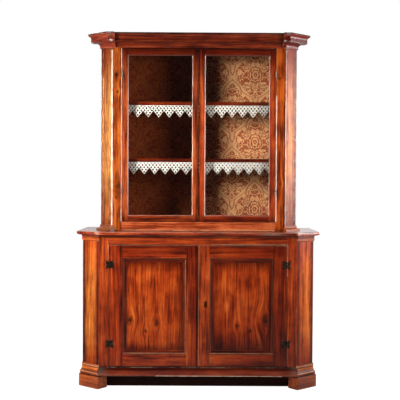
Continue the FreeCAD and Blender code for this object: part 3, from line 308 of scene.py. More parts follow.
def dressWood(title, boards, changes):
    look = {**shellacWood, **changes}
    material, tree = newMaterial(title)
    where = addNode(tree, "TexCoord").outputs["Object"]
    x, y, z = addNode(tree, "SeparateXYZ", {0: where}).outputs
    across, depth, along = boardAxes(tree, x, y, z, look)
    across, knotDark = bentByKnots(tree, x, z, across, look["knots"])
    board = addNode(tree, "CombineXYZ", {0: across, 1: depth, 2: along})
    plank = addNode(tree, "VectorMath", {0: board, 1: look["seed"]}, operation="ADD")

    def streaks(size, detail, wander=0.0):
        acrossScale, alongScale = (1000 / side for side in size)
        fitted = addNode(tree, "Mapping", {"Vector": plank, "Scale": (acrossScale, acrossScale, alongScale)})
        return addNode(tree, "TexNoise", {"Vector": fitted, "Scale": 1.0, "Detail": detail,
                                          "Roughness": grain["noiseRough"], "Distortion": wander})

    # figure of the board: broad bands, fine fibres, wandering flames and soft clouds
    fibre = streaks(grain["fibreMm"], detail=3.0)
    pore = streaks(grain["poreMm"], detail=1.0)
    cloud = addNode(tree, "TexNoise", {"Vector": plank, "Scale": 1000 / grain["cloudMm"], "Detail": 3.0})
    band = streaks(grain["bandMm"], detail=2.0)
    flame = streaks(grain["flameMm"], detail=4.0, wander=grain["flameWander"])
    tone = None
    for part, share in zip((band, fibre, flame, cloud), look["figure"]):
        weighed = addNode(tree, "Math", {0: part, 1: share}, operation="MULTIPLY")
        tone = weighed if tone is None else addNode(tree, "Math", {0: tone, 1: weighed}, operation="ADD")
    low, high = look["spread"]
    spread = addNode(tree, "MapRange", {"Value": tone, "From Min": low, "From Max": high})
    colour = addNode(tree, "ValToRGB", {"Fac": spread}, list(zip(look["tonesAt"], look["tones"])))

    # a tint, and painted light and shade on the left and right half; then painted shade by height, width and
    # distance from the middle
    leftHalf = addNode(tree, "Math", {0: x, 1: 0.0}, operation="LESS_THAN")
    tintAndSideLight = addNode(tree, "Mix", {0: leftHalf, 6: look["tintAndSideLight"][1], 7: look["tintAndSideLight"][0]}, data_type="RGBA")
    colour = addNode(tree, "Mix", {0: 1.0, 6: colour, 7: tintAndSideLight}, data_type="RGBA", blend_type="MULTIPLY")
    axes = {"x": x, "z": z, "side": addNode(tree, "Math", {0: x}, operation="ABSOLUTE")}
    for axis, low, high, stops in look["paintedShades"]:
        rise = addNode(tree, "MapRange", {"Value": axes[axis], "From Min": low, "From Max": high})
        fade = addNode(tree, "ValToRGB", {"Fac": rise}, stops)
        colour = addNode(tree, "Mix", {0: 1.0, 6: colour, 7: fade}, data_type="RGBA", blend_type="MULTIPLY")

    # dark pores and knots, then dirt and painted shade that darken corners and recesses
    low, high = grain["poreRange"]
    openPore = addNode(tree, "MapRange", {"Value": pore, "From Min": low, "From Max": high,
                                          "To Max": grain["poreDark"]})
    shade = addNode(tree, "AmbientOcclusion", {"Distance": grain["dirtShadeReachMm"] / 1000}, samples=8)
    shade = shade.outputs["AO"]
    low, high = grain["dirtShadeRange"]
    dirtAndShade = addNode(tree, "MapRange", {"Value": shade, "From Min": low, "From Max": high,
                                      "To Max": look["dirtAndShade"]})
    for dark in (openPore, knotDark, dirtAndShade):
        if dark is not None:
            colour = addNode(tree, "Mix", {0: dark, 6: colour, 7: look["darkHex"]}, data_type="RGBA")

    # bare wood on rubbed arrises, and pale marks at given places and along given lines: wear, and painted
    # highlights where edges catch the light
    rounded = addNode(tree, "Bevel", {"Radius": grain["wearReachMm"] / 1000}, samples=6)
    flatNormal = addNode(tree, "NewGeometry").outputs["Normal"]
    agree = addNode(tree, "VectorMath", {0: rounded, 1: flatNormal}, operation="DOT_PRODUCT")
    low, high = grain["edgeRange"]
    edge = addNode(tree, "MapRange", {"Value": agree, "From Min": low, "From Max": high,
                                      "To Max": look["wearAndHighlight"]})
    low, high = grain["proudRange"]
    proud = addNode(tree, "MapRange", {"Value": shade, "From Min": low, "From Max": high})
    patchy = addNode(tree, "TexNoise", {"Vector": where, "Scale": 1000 / grain["wearPatchMm"], "Detail": 3.0})
    low, high = grain["wearRange"]
    rubbedAndSheen = addNode(tree, "MapRange", {"Value": patchy, "From Min": low, "From Max": high})
    wearAndHighlight = addNode(tree, "Math", {0: edge, 1: proud}, operation="MULTIPLY")
    wearAndHighlight = addNode(tree, "Math", {0: wearAndHighlight, 1: rubbedAndSheen}, operation="MULTIPLY")
    for *spot, radiusMm, strength in look["patches"]:
        far = addNode(tree, "VectorMath", {0: where, 1: spot}, operation="DISTANCE")
        near = addNode(tree, "MapRange", {
            "Value": far, "From Min": radiusMm / 1000, "From Max": 0.0,
            "To Max": strength * grain["patchGain"]}, interpolation_type="SMOOTHSTEP")
        ragged = addNode(tree, "Math", {0: near, 1: patchy}, operation="MULTIPLY", use_clamp=True)
        wearAndHighlight = addNode(tree, "Math", {0: wearAndHighlight, 1: ragged}, operation="MAXIMUM")
    faint, clear = grain["lineRange"]
    for axis, place, half, (low, high), strength in look["lines"]:
        measured, other = (x, z) if axis == "x" else (z, x)
        hit = addNode(tree, "Math", {0: measured, 1: place, 2: half}, operation="COMPARE")
        within = addNode(tree, "Math", {0: other, 1: (low + high) / 2, 2: (high - low) / 2},
                         operation="COMPARE")
        worn = addNode(tree, "MapRange", {"Value": patchy, "From Min": faint, "From Max": clear,
                                          "To Min": strength * grain["lineLeast"], "To Max": strength})
        line = addNode(tree, "Math", {0: hit, 1: within}, operation="MULTIPLY")
        line = addNode(tree, "Math", {0: line, 1: worn}, operation="MULTIPLY")
        wearAndHighlight = addNode(tree, "Math", {0: wearAndHighlight, 1: line}, operation="MAXIMUM")
    colour = addNode(tree, "Mix", {0: wearAndHighlight, 6: colour, 7: look["wearAndHighlightHex"]}, data_type="RGBA")

    (low, high), (smooth, dull) = grain["roughRange"], look["rough"]
    rough = addNode(tree, "MapRange", {"Value": fibre, "From Min": low, "From Max": high,
                                       "To Min": smooth, "To Max": dull})
    relief = addNode(tree, "Bump", {"Height": pore, "Strength": look["bump"], "Distance": grain["reliefM"]})
    skin = addNode(tree, "BsdfPrincipled", {
        "Base Color": colour, "Roughness": rough, "Normal": relief, "Coat Weight": look["coat"],
        "Coat Roughness": grain["coatRough"], "Specular IOR Level": look["shine"]})
    addNode(tree, "OutputMaterial", {"Surface": skin})
    dress(material, boards)


# which boards share a finish, and how each lies
# a pale line along the lower edge of the frieze on the right, wear and painted highlight
dressWood("shellac walnut, planed rails", ["frieze_rail", "upper_top_rail"], {
    "along": "X", "seed": (0.31, 0.0, 0.72), "wearAndHighlight": 0.2, "wearAndHighlightHex": "#D0A884",
    "lines": [("z", 0.8925, 0.002, (0.08, 0.55), 0.6)],
})
railTones = ("#3A0E06", "#702810", "#9A4422", "#B25A30", "#C67444")
# a painted highlight along the lower edge of the hutch's base rail
dressWood("shellac walnut, hutch base rail", ["upper_base_rail"], {
    "along": "X", "seed": (0.62, 0.3, 0.11), "tones": railTones,
    "lines": [("z", 0.9755, 0.0025, (-0.51, 0.51), 0.35)],
})
# wear and painted highlights along the top arris; painted reflections as pale patches at the front corners
# and over the right of the top
dressWood("shellac walnut, worn slab", ["top_slab"], {
    "along": "X", "seed": (0.12, 0.4, 0.2), "tintAndSideLight": ("#F4DCD0", "#F4DCD0"),
    "wearAndHighlight": 0.5, "wearAndHighlightHex": "#B48C78", "dirtAndShade": 0.4, "rough": (0.22, 0.34), "coat": 0.22, "shine": 0.35,
    "lines": [("z", 0.9675, 0.0025, (-0.76, 0.76), 0.35)],
    "patches": [(-0.62, -0.285, 0.965, 36, 0.45), (0.62, -0.285, 0.965, 32, 0.4),
                (0.45, -0.29, 0.965, 120, 0.25)],
})
# painted shade in the hollows of the cornice and along its top edge; the last stop is for the flat top
corniceShade = ("z", 2.115, 2.2, [
    (0.0, "#FFFFFF"), (0.2, "#F8F0EC"), (0.3, "#DCD0CC"), (0.42, "#ECE0DC"), (0.52, "#D0C0BC"),
    (0.64, "#FFFFFF"), (0.90, "#FFFFFF"), (0.94, "#60302A"), (0.994, "#60302A"), (0.998, "#E8DCD4")])
dressWood("shellac walnut, run cornice", ["cornice_front"], {
    "along": "X", "seed": (0.9, 0.4, 0.1), "wearAndHighlight": 0.2, "paintedShades": [corniceShade],
    "tones": ("#1A0603", "#481308", "#6A2410", "#803218", "#9A4A26"),
})
# painted light and shade: the right half darker, and painted highlights on the edges of the corner blocks
dressWood("shellac walnut, run cornice corners", ["cornice_ends"], {
    "along": "cant", "seed": (0.2, 0.7, 0.5), "tintAndSideLight": ("#FFFFFF", "#C0806C"), "paintedShades": [corniceShade],
    "tones": ("#250C0A", "#632118", "#903D24", "#AD5032", "#CE7248"), "wearAndHighlightHex": "#E8D8CC",
    "patches": [(-0.552, -0.233, 2.174, 20, 1.0), (-0.545, -0.212, 2.147, 17, 0.9),
                (-0.55, -0.233, 2.196, 26, 0.2), (0.535, -0.233, 2.172, 18, 0.7),
                (0.53, -0.212, 2.146, 15, 0.7), (0.55, -0.233, 2.196, 26, 0.15)],
})
dressWood("shellac walnut, run slab moulding", ["slab_moulding"],
          {"along": "X", "seed": (0.5, 0.2, 0.3), "dirtAndShade": 0.5})
# painted shade darkens the top of the rail under the doors, and painted highlights sit at its ends; the pale
# lines along its lower edge are wear
dressWood("shellac walnut, run bottom rail", ["bottom_rail"], {
    "along": "X", "seed": (0.15, 0.6, 0.9), "wearAndHighlight": 0.6, "wearAndHighlightHex": "#DCC0A4", "tintAndSideLight": ("#DCCCC4", "#DCCCC4"),
    "paintedShades": [("z", 0.082, 0.137, [(0.0, "#FFFFFF"), (0.6, "#F0E0D8"), (0.78, "#907870"), (1.0, "#604840")])],
    "patches": [(-0.60, -0.275, 0.105, 60, 0.08), (0.60, -0.275, 0.105, 60, 0.07)],
    "lines": [("z", 0.0845, 0.0022, (-0.26, 0.30), 1.0), ("z", 0.0845, 0.0022, (0.30, 0.52), 0.8)],
})
# painted shade on the right half and in the hollows between the steps of the mouldings; pale lines on the
# fillets are wear and painted highlight
dressWood("shellac walnut, sawn feet and run bases", ["pedestal_mouldings", "front_feet", "post_caps"], {
    "along": "cant", "seed": (0.7, 0.1, 0.4), "wearAndHighlight": 0.6, "wearAndHighlightHex": "#D8B090",
    "tintAndSideLight": ("#FFFFFF", "#D4CCC8"), "tones": ("#3E1105", "#742C0E", "#9A4416", "#B65A20", "#D27A34"),
    "paintedShades": [("z", 0.0, 0.15, [
        (0.49, "#FFFFFF"), (0.52, "#805848"), (0.56, "#FFFFFF"), (0.64, "#FFFFFF"), (0.68, "#805848"),
        (0.74, "#FFFFFF"), (0.83, "#FFFFFF"), (0.87, "#805848"), (0.91, "#FFFFFF")])],
    "lines": [("z", 0.096, 0.0025, (-0.8, 0.8), 0.4), ("z", 0.137, 0.0025, (-0.8, 0.8), 0.4)],
})
# painted light: a cool tint on the left half and a warm one on the right; painted shade in the hollows of the
# moulding
dressWood("shellac walnut, post bases", ["upper_post_bases"], {
    "along": "cant", "seed": (0.1, 0.7, 0.4), "wearAndHighlight": 0.6, "wearAndHighlightHex": "#D8B090", "tones": railTones,
    "tintAndSideLight": ("#C0DCF0", "#E0D4A8"),
    "paintedShades": [("z", 0.965, 1.01, [
        (0.36, "#FFFFFF"), (0.43, "#906858"), (0.52, "#FFFFFF"), (0.68, "#FFFFFF"), (0.75, "#906858"),
        (0.82, "#FFFFFF")])],
})
# pale lines on the arrises by the canted posts, wear and painted highlight
dressWood("shellac walnut, base uprights", ["lower_front_stiles"], {
    "seed": (0.4, 0.0, 0.2), "wearAndHighlight": 0.15, "wearAndHighlightHex": "#D8C0A8",
    "tones": ("#2A0904", "#5A1907", "#832B0F", "#9F4016", "#B85A24"),
    "lines": [("x", 0.5505, 0.002, (0.70, 0.89), 0.4), ("x", -0.5505, 0.002, (0.80, 0.89), 0.3)],
})
dressWood("shellac walnut, sides", ["lower_sides", "upper_sides"],
          {"seed": (0.8, 0.3, 0.6), "spread": (0.28, 0.68)})
# painted light and shade: a tint for each half, darker towards the bottom and top, and painted shade along
# both edges
dressWood("shellac walnut, base posts", ["lower_canted_posts"], {
    "seed": (0.12, 0.2, 0.9), "wearAndHighlight": 0.3, "tintAndSideLight": ("#EEF2F8", "#E8D0B6"), "coat": 0.02, "shine": 0.15,
    "tones": ("#4C180A", "#8A3E12", "#B65C20", "#CE762C", "#E29440"),
    "paintedShades": [
        ("z", 0.15, 0.91, [(0.0, "#C89080"), (0.3, "#FFFFFF"), (0.75, "#FFFFFF"), (1.0, "#E0B098")]),
        ("side", 0.61, 0.722, [(0.0, "#985848"), (0.12, "#A86048"), (0.26, "#FFFFFF"), (0.76, "#FFFFFF"),
                               (0.9, "#A06450"), (1.0, "#905848")])],
})
# painted light and shade: a tint for each half, darker at the bottom and top, dark painted lines in the
# grooves by the outer edge, and pale lines along the front arrises that are painted highlight and wear
dressWood("shellac walnut, hutch posts", ["upper_canted_posts"], {
    "seed": (0.47, 0.2, 0.6), "wearAndHighlight": 0.6, "wearAndHighlightHex": "#E8D0BC", "tintAndSideLight": ("#F0FFFF", "#F8D3A0"),
    "coat": 0.04, "shine": 0.2, "tones": ("#39160C", "#6E3A1A", "#95582C", "#AD763F", "#C3975C"),
    "paintedShades": [
        ("z", 1.0, 2.1, [(0.0, "#C89080"), (0.25, "#FFFFFF"), (0.7, "#FFFFFF"), (1.0, "#D09080")]),
        ("side", 0.542, 0.618, [(0.62, "#FFFFFF"), (0.7, "#B89080"), (0.78, "#FFF0E8"), (0.86, "#F0D8CC"),
                                (0.93, "#A08078"), (1.0, "#A88880")])],
    "lines": [("x", -0.5445, 0.0025, (1.0, 2.1), 0.6), ("x", 0.5445, 0.0025, (1.0, 2.1), 0.2)],
})
# painted light and shade: a tint for each half and painted shade along the outer edges; the pale lines along
# the arrises are painted highlight and wear; the knots are the wood's own
dressWood("shellac walnut, hutch uprights", ["upper_front_stiles"], {
    "seed": (0.66, 0.5, 0.33), "tintAndSideLight": ("#ECE8E0", "#FFECD4"), "wearAndHighlight": 0.5, "wearAndHighlightHex": "#DCC8BC",
    "tones": ("#280A04", "#66260A", "#944314", "#AE5C20", "#C47A32"),
    "paintedShades": [("x", 0.482, 0.542, [(0.84, "#FFFFFF"), (0.93, "#804838")])],
    "knots": [(-0.514, 1.945, 0.014), (-0.508, 1.84, 0.009), (-0.505, 1.25, 0.016), (-0.515, 1.18, 0.010),
              (0.51, 1.27, 0.010), (0.505, 1.93, 0.008)],
    "lines": [("x", -0.5405, 0.0022, (1.0, 2.1), 0.6), ("x", -0.4838, 0.0022, (1.03, 2.11), 0.6),
              ("x", 0.4865, 0.0032, (1.03, 1.82), 0.6)],
})
dressWood("shellac walnut, shelf edges", ["upper_high_shelf", "upper_low_shelf", "upper_floor_board"], {
    "along": "X", "seed": (0.22, 0.9, 0.4), "tintAndSideLight": ("#E8C8B8", "#E8C8B8"), "wearAndHighlight": 0.2, "dirtAndShade": 0.3})

# the doors of a pair differ by hand: the left is in the light, the right in the shade
lowerDoor = {
    "railX": (0.0715, 0.464),
    "panelZ": (0.239, 0.783),
    # a painted highlight along the top edge of both doors
    "doorTopHighlight": ("z", 0.8865, 0.0025, (-0.55, 0.55), 0.14),
    "frameZ": (0.14, 0.886),
    "meetingX": 0.0045,
    # a painted highlight on the edge of the right door by the meeting stile
    "meetingHighlight": {"left": 0.0, "right": 0.16},
    "mouldingX": (0.0775, 0.458),
    "mouldingZ": (0.220, 0.802),
    "mouldingSpanZ": (0.222, 0.800),
    "mouldingHighlight": (0.12, 0.5, 0.06),  # painted highlights on its outer, bottom and top edges
    "innerHighlight": {"left": 0.42, "right": 0.16},  # how bright the painted highlight is on its edge by the meeting stile
    "edgeHalf": 0.003,
    "seed": {"left": (0.37, 0.1, 0.58), "right": (0.93, 0.8, 0.05)},
    # the right frame's tones are a lighter copy, as painted light by the meeting stiles
    "frameTones": {"left": shellacWood["tones"],
                   "right": ("#200703", "#581A07", "#842F10", "#9C4316", "#B45E26")},
    # painted shade across each frame: darker by the left door's meeting stile, and on the right door towards
    # its hinge side
    "frameLightAndShade": {
        "left": ("x", -0.55, 0.0, [(0.0, "#FFE8E0"), (0.5, "#FFFFFF"), (0.85, "#FFFFFF"), (0.965, "#D8BCB4"),
                                   (0.985, "#907870"), (1.0, "#78605A")]),
        "right": ("x", 0.0, 0.55, [(0.15, "#FFFFFF"), (0.5, "#E0C0B8"), (1.0, "#C0A098")])},
    # painted shade towards the top of the doors, under the overhanging slab
    "topShade": ("z", 0.80, 0.889, [(0.1, "#FFFFFF"), (0.25, "#E8D8D8"), (0.7, "#D8C4C4"), (1.0, "#D0B8B4")]),
    "panelTones": ("#300A02", "#661C05", "#8A300B", "#A24413", "#BC6024"),
    "panelShades": {  # painted shade in the margins along the mouldings
        "left": [("z", 0.24, 0.78, [(0.0, "#9C8C84"), (0.03, "#B8A8A0"), (0.1, "#FFFFFF"), (0.88, "#FFFFFF"),
                                    (0.95, "#D4C8C4"), (1.0, "#988884")]),
                 ("x", -0.145, -0.0965, [(0.0, "#FFFFFF"), (0.4, "#DCD0CC"), (0.75, "#AC9C98"),
                                         (1.0, "#887870")])],
        "right": [("z", 0.24, 0.78, [
                      (0.0, "#806C66"), (0.05, "#9C847C"), (0.13, "#C8B0A8"), (0.29, "#F4E0D8"),
                      (0.5, "#FFFFFF"), (0.88, "#FFF4EC"), (0.95, "#D0C0BC"), (1.0, "#988880")]),
                  ("x", 0.0965, 0.18, [(0.0, "#C8BCB8"), (0.3, "#DCD0CC"), (1.0, "#FFFFFF")])]},
    "knots": {"left": [(-0.421, 0.423, 0.021), (-0.253, 0.409, 0.017), (-0.322, 0.356, 0.012)],
              "right": [(0.416, 0.420, 0.033), (0.320, 0.358, 0.013), (0.242, 0.390, 0.012)]},
}
upperDoor = {
    "railX": (0.0415, 0.440),
    "glassZ": (1.069, 2.067),
    "beadZ": (1.07, 2.066),
    "sightHalf": 0.0018,
    "sightHighlight": {"left": (0.0, 0.5), "right": (0.5, 0.5)},  # painted highlights on the left and right edge of the opening
    "sillHighlight": (0.16, 0.04),  # painted highlights on its bottom and top edge
    "seedShift": (0.3, 0.0, 0.2),
    # the left door's tones a little lighter than the right's, as painted light
    "tones": {"left": ("#240A04", "#5A200B", "#803618", "#98481E", "#B2622C"),
              "right": ("#200803", "#561A08", "#7E2D11", "#963F17", "#AE5A26")},
    # painted shade: darker towards the bottom and top of the frames, and dark in the gap between the doors
    "paintedShades": [("z", 1.03, 2.11, [(0.0, "#A08078"), (0.05, "#FFF0E8"), (0.86, "#FFFFFF"), (0.95, "#B4887C"),
                                 (1.0, "#704A40")]),
              ("side", 0.0, 0.005, [(0.0, "#281410"), (0.5, "#402420"), (1.0, "#FFFFFF")])],
}
for hand, side in {"left": -1, "right": 1}.items():
    seed, half = lowerDoor["seed"][hand], lowerDoor["edgeHalf"]
    low, high = sorted(side * edge for edge in lowerDoor["railX"])
    dressWood(f"shellac walnut, {hand} base door", [f"lower_{hand}_door_frame"], {
        "turnX": (low, high), "seed": seed, "wearAndHighlight": 0.12, "tones": lowerDoor["frameTones"][hand],
        "paintedShades": [lowerDoor["frameLightAndShade"][hand], lowerDoor["topShade"]],
        "lines": [lowerDoor["doorTopHighlight"], ("x", side * lowerDoor["meetingX"], half, lowerDoor["frameZ"],
                                         lowerDoor["meetingHighlight"][hand])],
    })
    dressWood(f"shellac walnut, {hand} flat panel", [f"lower_{hand}_door_panel"], {
        "seed": (seed[1], seed[2], seed[0]), "tones": lowerDoor["panelTones"], "wearAndHighlight": 0.1,
        "knots": lowerDoor["knots"][hand], "paintedShades": lowerDoor["panelShades"][hand],
        "figure": (0.2, 0.5, 0.06, 0.24),
    })
    (innerX, outerX), (bottomZ, topZ) = lowerDoor["mouldingX"], lowerDoor["mouldingZ"]
    outerHighlight, bottomHighlight, topHighlight = lowerDoor["mouldingHighlight"]
    dressWood(f"shellac walnut, {hand} panel moulding", [f"lower_{hand}_door_panel_moulding"], {
        "turnZ": lowerDoor["panelZ"], "seed": (seed[2], seed[0], seed[1]), "wearAndHighlight": 0.15, "wearAndHighlightHex": "#A4745A",
        "tintAndSideLight": ("#B09890", "#B09890"),
        "lines": [("x", side * innerX, half, lowerDoor["mouldingSpanZ"], lowerDoor["innerHighlight"][hand]),
                  ("x", side * outerX, half, lowerDoor["mouldingSpanZ"], outerHighlight),
                  ("z", bottomZ, half, (low, high), bottomHighlight), ("z", topZ, half, (low, high), topHighlight)],
    })
    low, high = sorted(side * edge for edge in upperDoor["railX"])
    half, (glassLow, glassHigh) = upperDoor["sightHalf"], upperDoor["glassZ"]
    leftHighlight, rightHighlight = upperDoor["sightHighlight"][hand]
    bottomHighlight, topHighlight = upperDoor["sillHighlight"]
    dressWood(f"shellac walnut, {hand} glazed door", [f"upper_{hand}_door_frame"], {
        "turnX": (low, high), "seed": tuple(sum(pair) for pair in zip(seed, upperDoor["seedShift"])),
        "wearAndHighlightHex": "#D8C4BA", "wearAndHighlight": 0.08, "tones": upperDoor["tones"][hand], "paintedShades": upperDoor["paintedShades"],
        "lines": [("x", low - half, half, upperDoor["glassZ"], leftHighlight),
                  ("x", high + half, half, upperDoor["glassZ"], rightHighlight),
                  ("z", glassLow - half, half, (low, high), bottomHighlight),
                  ("z", glassHigh + half, half, (low, high), topHighlight)],
    })
    dressWood(f"shellac walnut, {hand} glazing beads", [f"upper_{hand}_door_glass_beads"], {
        "turnZ": upperDoor["beadZ"], "seed": seed, "wearAndHighlight": 0.12})

# sawn poplar that was never polished: grey-brown, dusty and dull
bareWood = {
    "tones": ("#2A1A10", "#4E3422", "#664830", "#7E5C3E", "#947250"),
    "rough": (0.7, 0.9), "coat": 0.0, "wearAndHighlight": 0.2, "bump": 0.3,
}
dressWood("bare poplar, sawn boards",
          ["lower_back", "upper_back", "rear_feet", "lower_shelf_cleats", "upper_shelf_cleats"],
          {**bareWood, "seed": (0.3, 0.3, 0.3)})
dressWood("bare poplar, planed shelves", ["lower_floor_board", "lower_shelf", "upper_top_board"],
          {**bareWood, "along": "X", "seed": (0.6, 0.2, 0.8)})
# painted shade: the plinth board is drawn near black for the deep shade under the cupboard
dressWood("poplar plinth, dark as painted shade", ["plinth_board"], {
    **bareWood, "along": "X", "shine": 0.1,
    "tones": ("#0E0502", "#200E07", "#32160B"), "tonesAt": (0.0, 0.5, 1.0)})
print("boards dressed")

# hammered wrought iron: near black and dull, with brown rust in its hollows, and pale grey on the barrels,
# partly rubbed metal and partly painted sheen
iron = {
    "stops": {"hammered": [(0.5, "#241D18"), (0.72, "#5C4636")],
              "rubbedAndSheen": [(0.36, "#3C322C"), (0.6, "#A8A098")]},
    "endings": {"hammered": ("leaves", "case", "bolt", "latch", "latch_plate"), "rubbedAndSheen": ("barrels",)},
    "dentMm": 7.0,
    "dentM": 0.001,
    "dents": 0.4,
    "rustMm": 16.0,
    "rough": (0.45, 0.7),
    "metallic": 0.6,
}
wroughtIron = {}
for finish, stops in iron["stops"].items():
    wroughtIron[finish], tree = newMaterial(f"wrought iron, {finish}")
    where = addNode(tree, "TexCoord").outputs["Object"]
    dents = addNode(tree, "TexNoise", {"Vector": where, "Scale": 1000 / iron["dentMm"], "Detail": 2.0})
    rust = addNode(tree, "TexNoise", {"Vector": where, "Scale": 1000 / iron["rustMm"], "Detail": 5.0})
    tone = addNode(tree, "ValToRGB", {"Fac": rust}, stops)
    smooth, dull = iron["rough"]
    rough = addNode(tree, "MapRange", {"Value": dents, "To Min": smooth, "To Max": dull})
    relief = addNode(tree, "Bump", {"Height": dents, "Strength": iron["dents"], "Distance": iron["dentM"]})
    skin = addNode(tree, "BsdfPrincipled", {"Base Color": tone, "Metallic": iron["metallic"],
                                            "Roughness": rough, "Normal": relief})
    addNode(tree, "OutputMaterial", {"Surface": skin})
    dress(wroughtIron[finish], [name for name in nodes if name.endswith(iron["endings"][finish])])

# tarnished sheet brass round the keyhole: brown film with a few bright rubs
brass = {
    "stops": [(0.4, "#2A1A10"), (0.75, "#8A6030")],
    "speckMm": 9.0,
    "detail": 4.0,
    "bump": 0.2,
    "reliefM": 0.0006,
    "sockets": {"Metallic": 1.0, "Roughness": 0.42},
}
dress(plainSurface("sheet brass, tarnished", brass), ["lower_keyhole_plate"])

# old drawn window glass: clear, faintly wavy, mirrors only at a slant
pane = {
    "tintHex": "#FDFEFD",
    "waveMm": 120.0,
    "waveM": 0.004,
    "waves": 0.05,
    "mirror": 0.4,  # share of the full mirror
    "rough": 0.03,
    "ior": 1.45,
}
drawnGlass, tree = newMaterial("drawn glass, clear")
where = addNode(tree, "TexCoord").outputs["Object"]
wave = addNode(tree, "TexNoise", {"Vector": where, "Scale": 1000 / pane["waveMm"], "Detail": 1.0})
relief = addNode(tree, "Bump", {"Height": wave, "Strength": pane["waves"], "Distance": pane["waveM"]})
through = addNode(tree, "BsdfTransparent", {"Color": pane["tintHex"]})
mirror = addNode(tree, "BsdfGlossy", {"Roughness": pane["rough"], "Normal": relief})
slant = addNode(tree, "Fresnel", {"IOR": pane["ior"], "Normal": relief})
weak = addNode(tree, "Math", {0: slant, 1: pane["mirror"]}, operation="MULTIPLY")
mixed = addNode(tree, "MixShader", {0: weak, 1: through, 2: mirror})
addNode(tree, "OutputMaterial", {"Surface": mixed})
dress(drawnGlass, ["upper_left_door_glass", "upper_right_door_glass"])
print("metal and glass dressed")

# woven damask: gold ground with red-brown medallions in half-drop rows, each in an ogee of pale ground,
# darker towards the left as painted shade
damask = {
    "repeatM": (0.311, 0.455),
    "centreM": (0.382, 1.551),
    "groundHex": ("#B45A2A", "#FFC48A"),  # darkened as painted shade on the left, and full tone on the right
    "figureHex": ("#842A10", "#AE3E16"),
    # painted shade: between these x values the dyes turn from the darkened left to their full tone on the
    # right
    "shadeToLightM": (-0.1, 0.24),
    "strayMm": 34.0,
    "strayM": 0.004,  # how far threads stray from the pattern
    "threadMm": 11.0,  # drawn as coarse as it needs to show
    "threadM": 0.001,
    "threads": 0.25,
    "fadeMm": 150.0,
    "fade": (0.78, 1.08),
    "squash": 0.85,  # medallions are taller than wide
    "ringM": 0.0175,  # from one ring of a medallion to the next
    "lobes": 10.0,
    "lobeDepth": 0.06,
    "ruffle": 6.5,  # how far the veins push the rings and scrolls about
    "medallionM": (0.062, 0.046),
    "leafMm": 70.0,
    "leafTwist": 0.6,
    "veinMm": 16.0,
    "veinTwist": 0.4,
    "scrolls": 40.0,
    "softness": 0.38,
    "ogee": (0.10, 0.15),  # how far the leafage stays off the ogee, in half repeats
    "vine": (0.035, 0.06),  # half its width and how far it sways, in half repeats
    "vineWaves": 5.0,  # an odd number, so that it runs on from cell to cell
    "vineShare": 0.7,
    "figureShare": 0.72,  # the rest is worn through in specks
    "speckShare": 0.36,
    "noiseRange": (0.3, 0.7),  # of specks and fading
    "rough": 0.75,
    "sheen": 0.1,
}
wovenDamask, tree = newMaterial("woven damask, faded")
where = addNode(tree, "TexCoord").outputs["Object"]
stray = addNode(tree, "TexNoise", {"Vector": where, "Scale": 1000 / damask["strayMm"], "Detail": 1.0})
centred = addNode(tree, "VectorMath", {0: stray.outputs["Color"], 1: (0.5, 0.5, 0.5)}, operation="SUBTRACT")
pulled = addNode(tree, "VectorMath", {0: centred, 1: (damask["strayM"],) * 3, 2: where},
                 operation="MULTIPLY_ADD")
centreX, centreZ = damask["centreM"]
fromCentre = addNode(tree, "VectorMath", {0: pulled, 1: (centreX, 0.0, centreZ)}, operation="SUBTRACT")
split = addNode(tree, "SeparateXYZ", {0: fromCentre})
repeatX, repeatZ = damask["repeatM"]
across = addNode(tree, "Math", {0: split.outputs["X"], 1: repeatX}, operation="DIVIDE")
rise = addNode(tree, "Math", {0: split.outputs["Z"], 1: repeatZ}, operation="DIVIDE")
oneWay = addNode(tree, "Math", {0: across, 1: rise}, operation="ADD")
otherWay = addNode(tree, "Math", {0: across, 1: rise}, operation="SUBTRACT")
slanted = addNode(tree, "CombineXYZ", {0: oneWay, 1: otherWay})
cell = addNode(tree, "TexVoronoi", {"Vector": slanted, "Scale": 1.0, "Randomness": 0.0},
               voronoi_dimensions="2D")
local = addNode(tree, "VectorMath", {0: slanted, 1: cell.outputs["Position"]}, operation="SUBTRACT")
slantX, slantZ = addNode(tree, "SeparateXYZ", {0: local}).outputs[:2]
aside = addNode(tree, "Math", {0: slantX, 1: slantZ}, operation="ADD")
aside = addNode(tree, "Math", {0: aside}, operation="ABSOLUTE")
upward = addNode(tree, "Math", {0: slantX, 1: slantZ}, operation="SUBTRACT")

# in each cell, mirrored about its centre line: lobed rings in the middle
spot = addNode(tree, "CombineXYZ", {0: aside, 1: upward})
spot = addNode(tree, "VectorMath", {0: spot, 1: (repeatX / 2, repeatZ / 2, 1.0)}, operation="MULTIPLY")
squashed = addNode(tree, "VectorMath", {0: spot, 1: (1.0, damask["squash"], 1.0)}, operation="MULTIPLY")
radius = addNode(tree, "VectorMath", {0: squashed}, operation="LENGTH")
angle = addNode(tree, "Math", {0: upward, 1: aside}, operation="ARCTAN2")
lobe = addNode(tree, "Math", {0: angle, 1: damask["lobes"]}, operation="MULTIPLY")
lobe = addNode(tree, "Math", {0: lobe}, operation="COSINE")
lobe = addNode(tree, "Math", {0: lobe, 1: damask["lobeDepth"], 2: 1.0}, operation="MULTIPLY_ADD")
lobed = addNode(tree, "Math", {0: radius, 1: lobe}, operation="MULTIPLY")
low, high = damask["medallionM"]
medallion = addNode(tree, "MapRange", {"Value": lobed, "From Min": low, "From Max": high},
                    interpolation_type="SMOOTHSTEP")

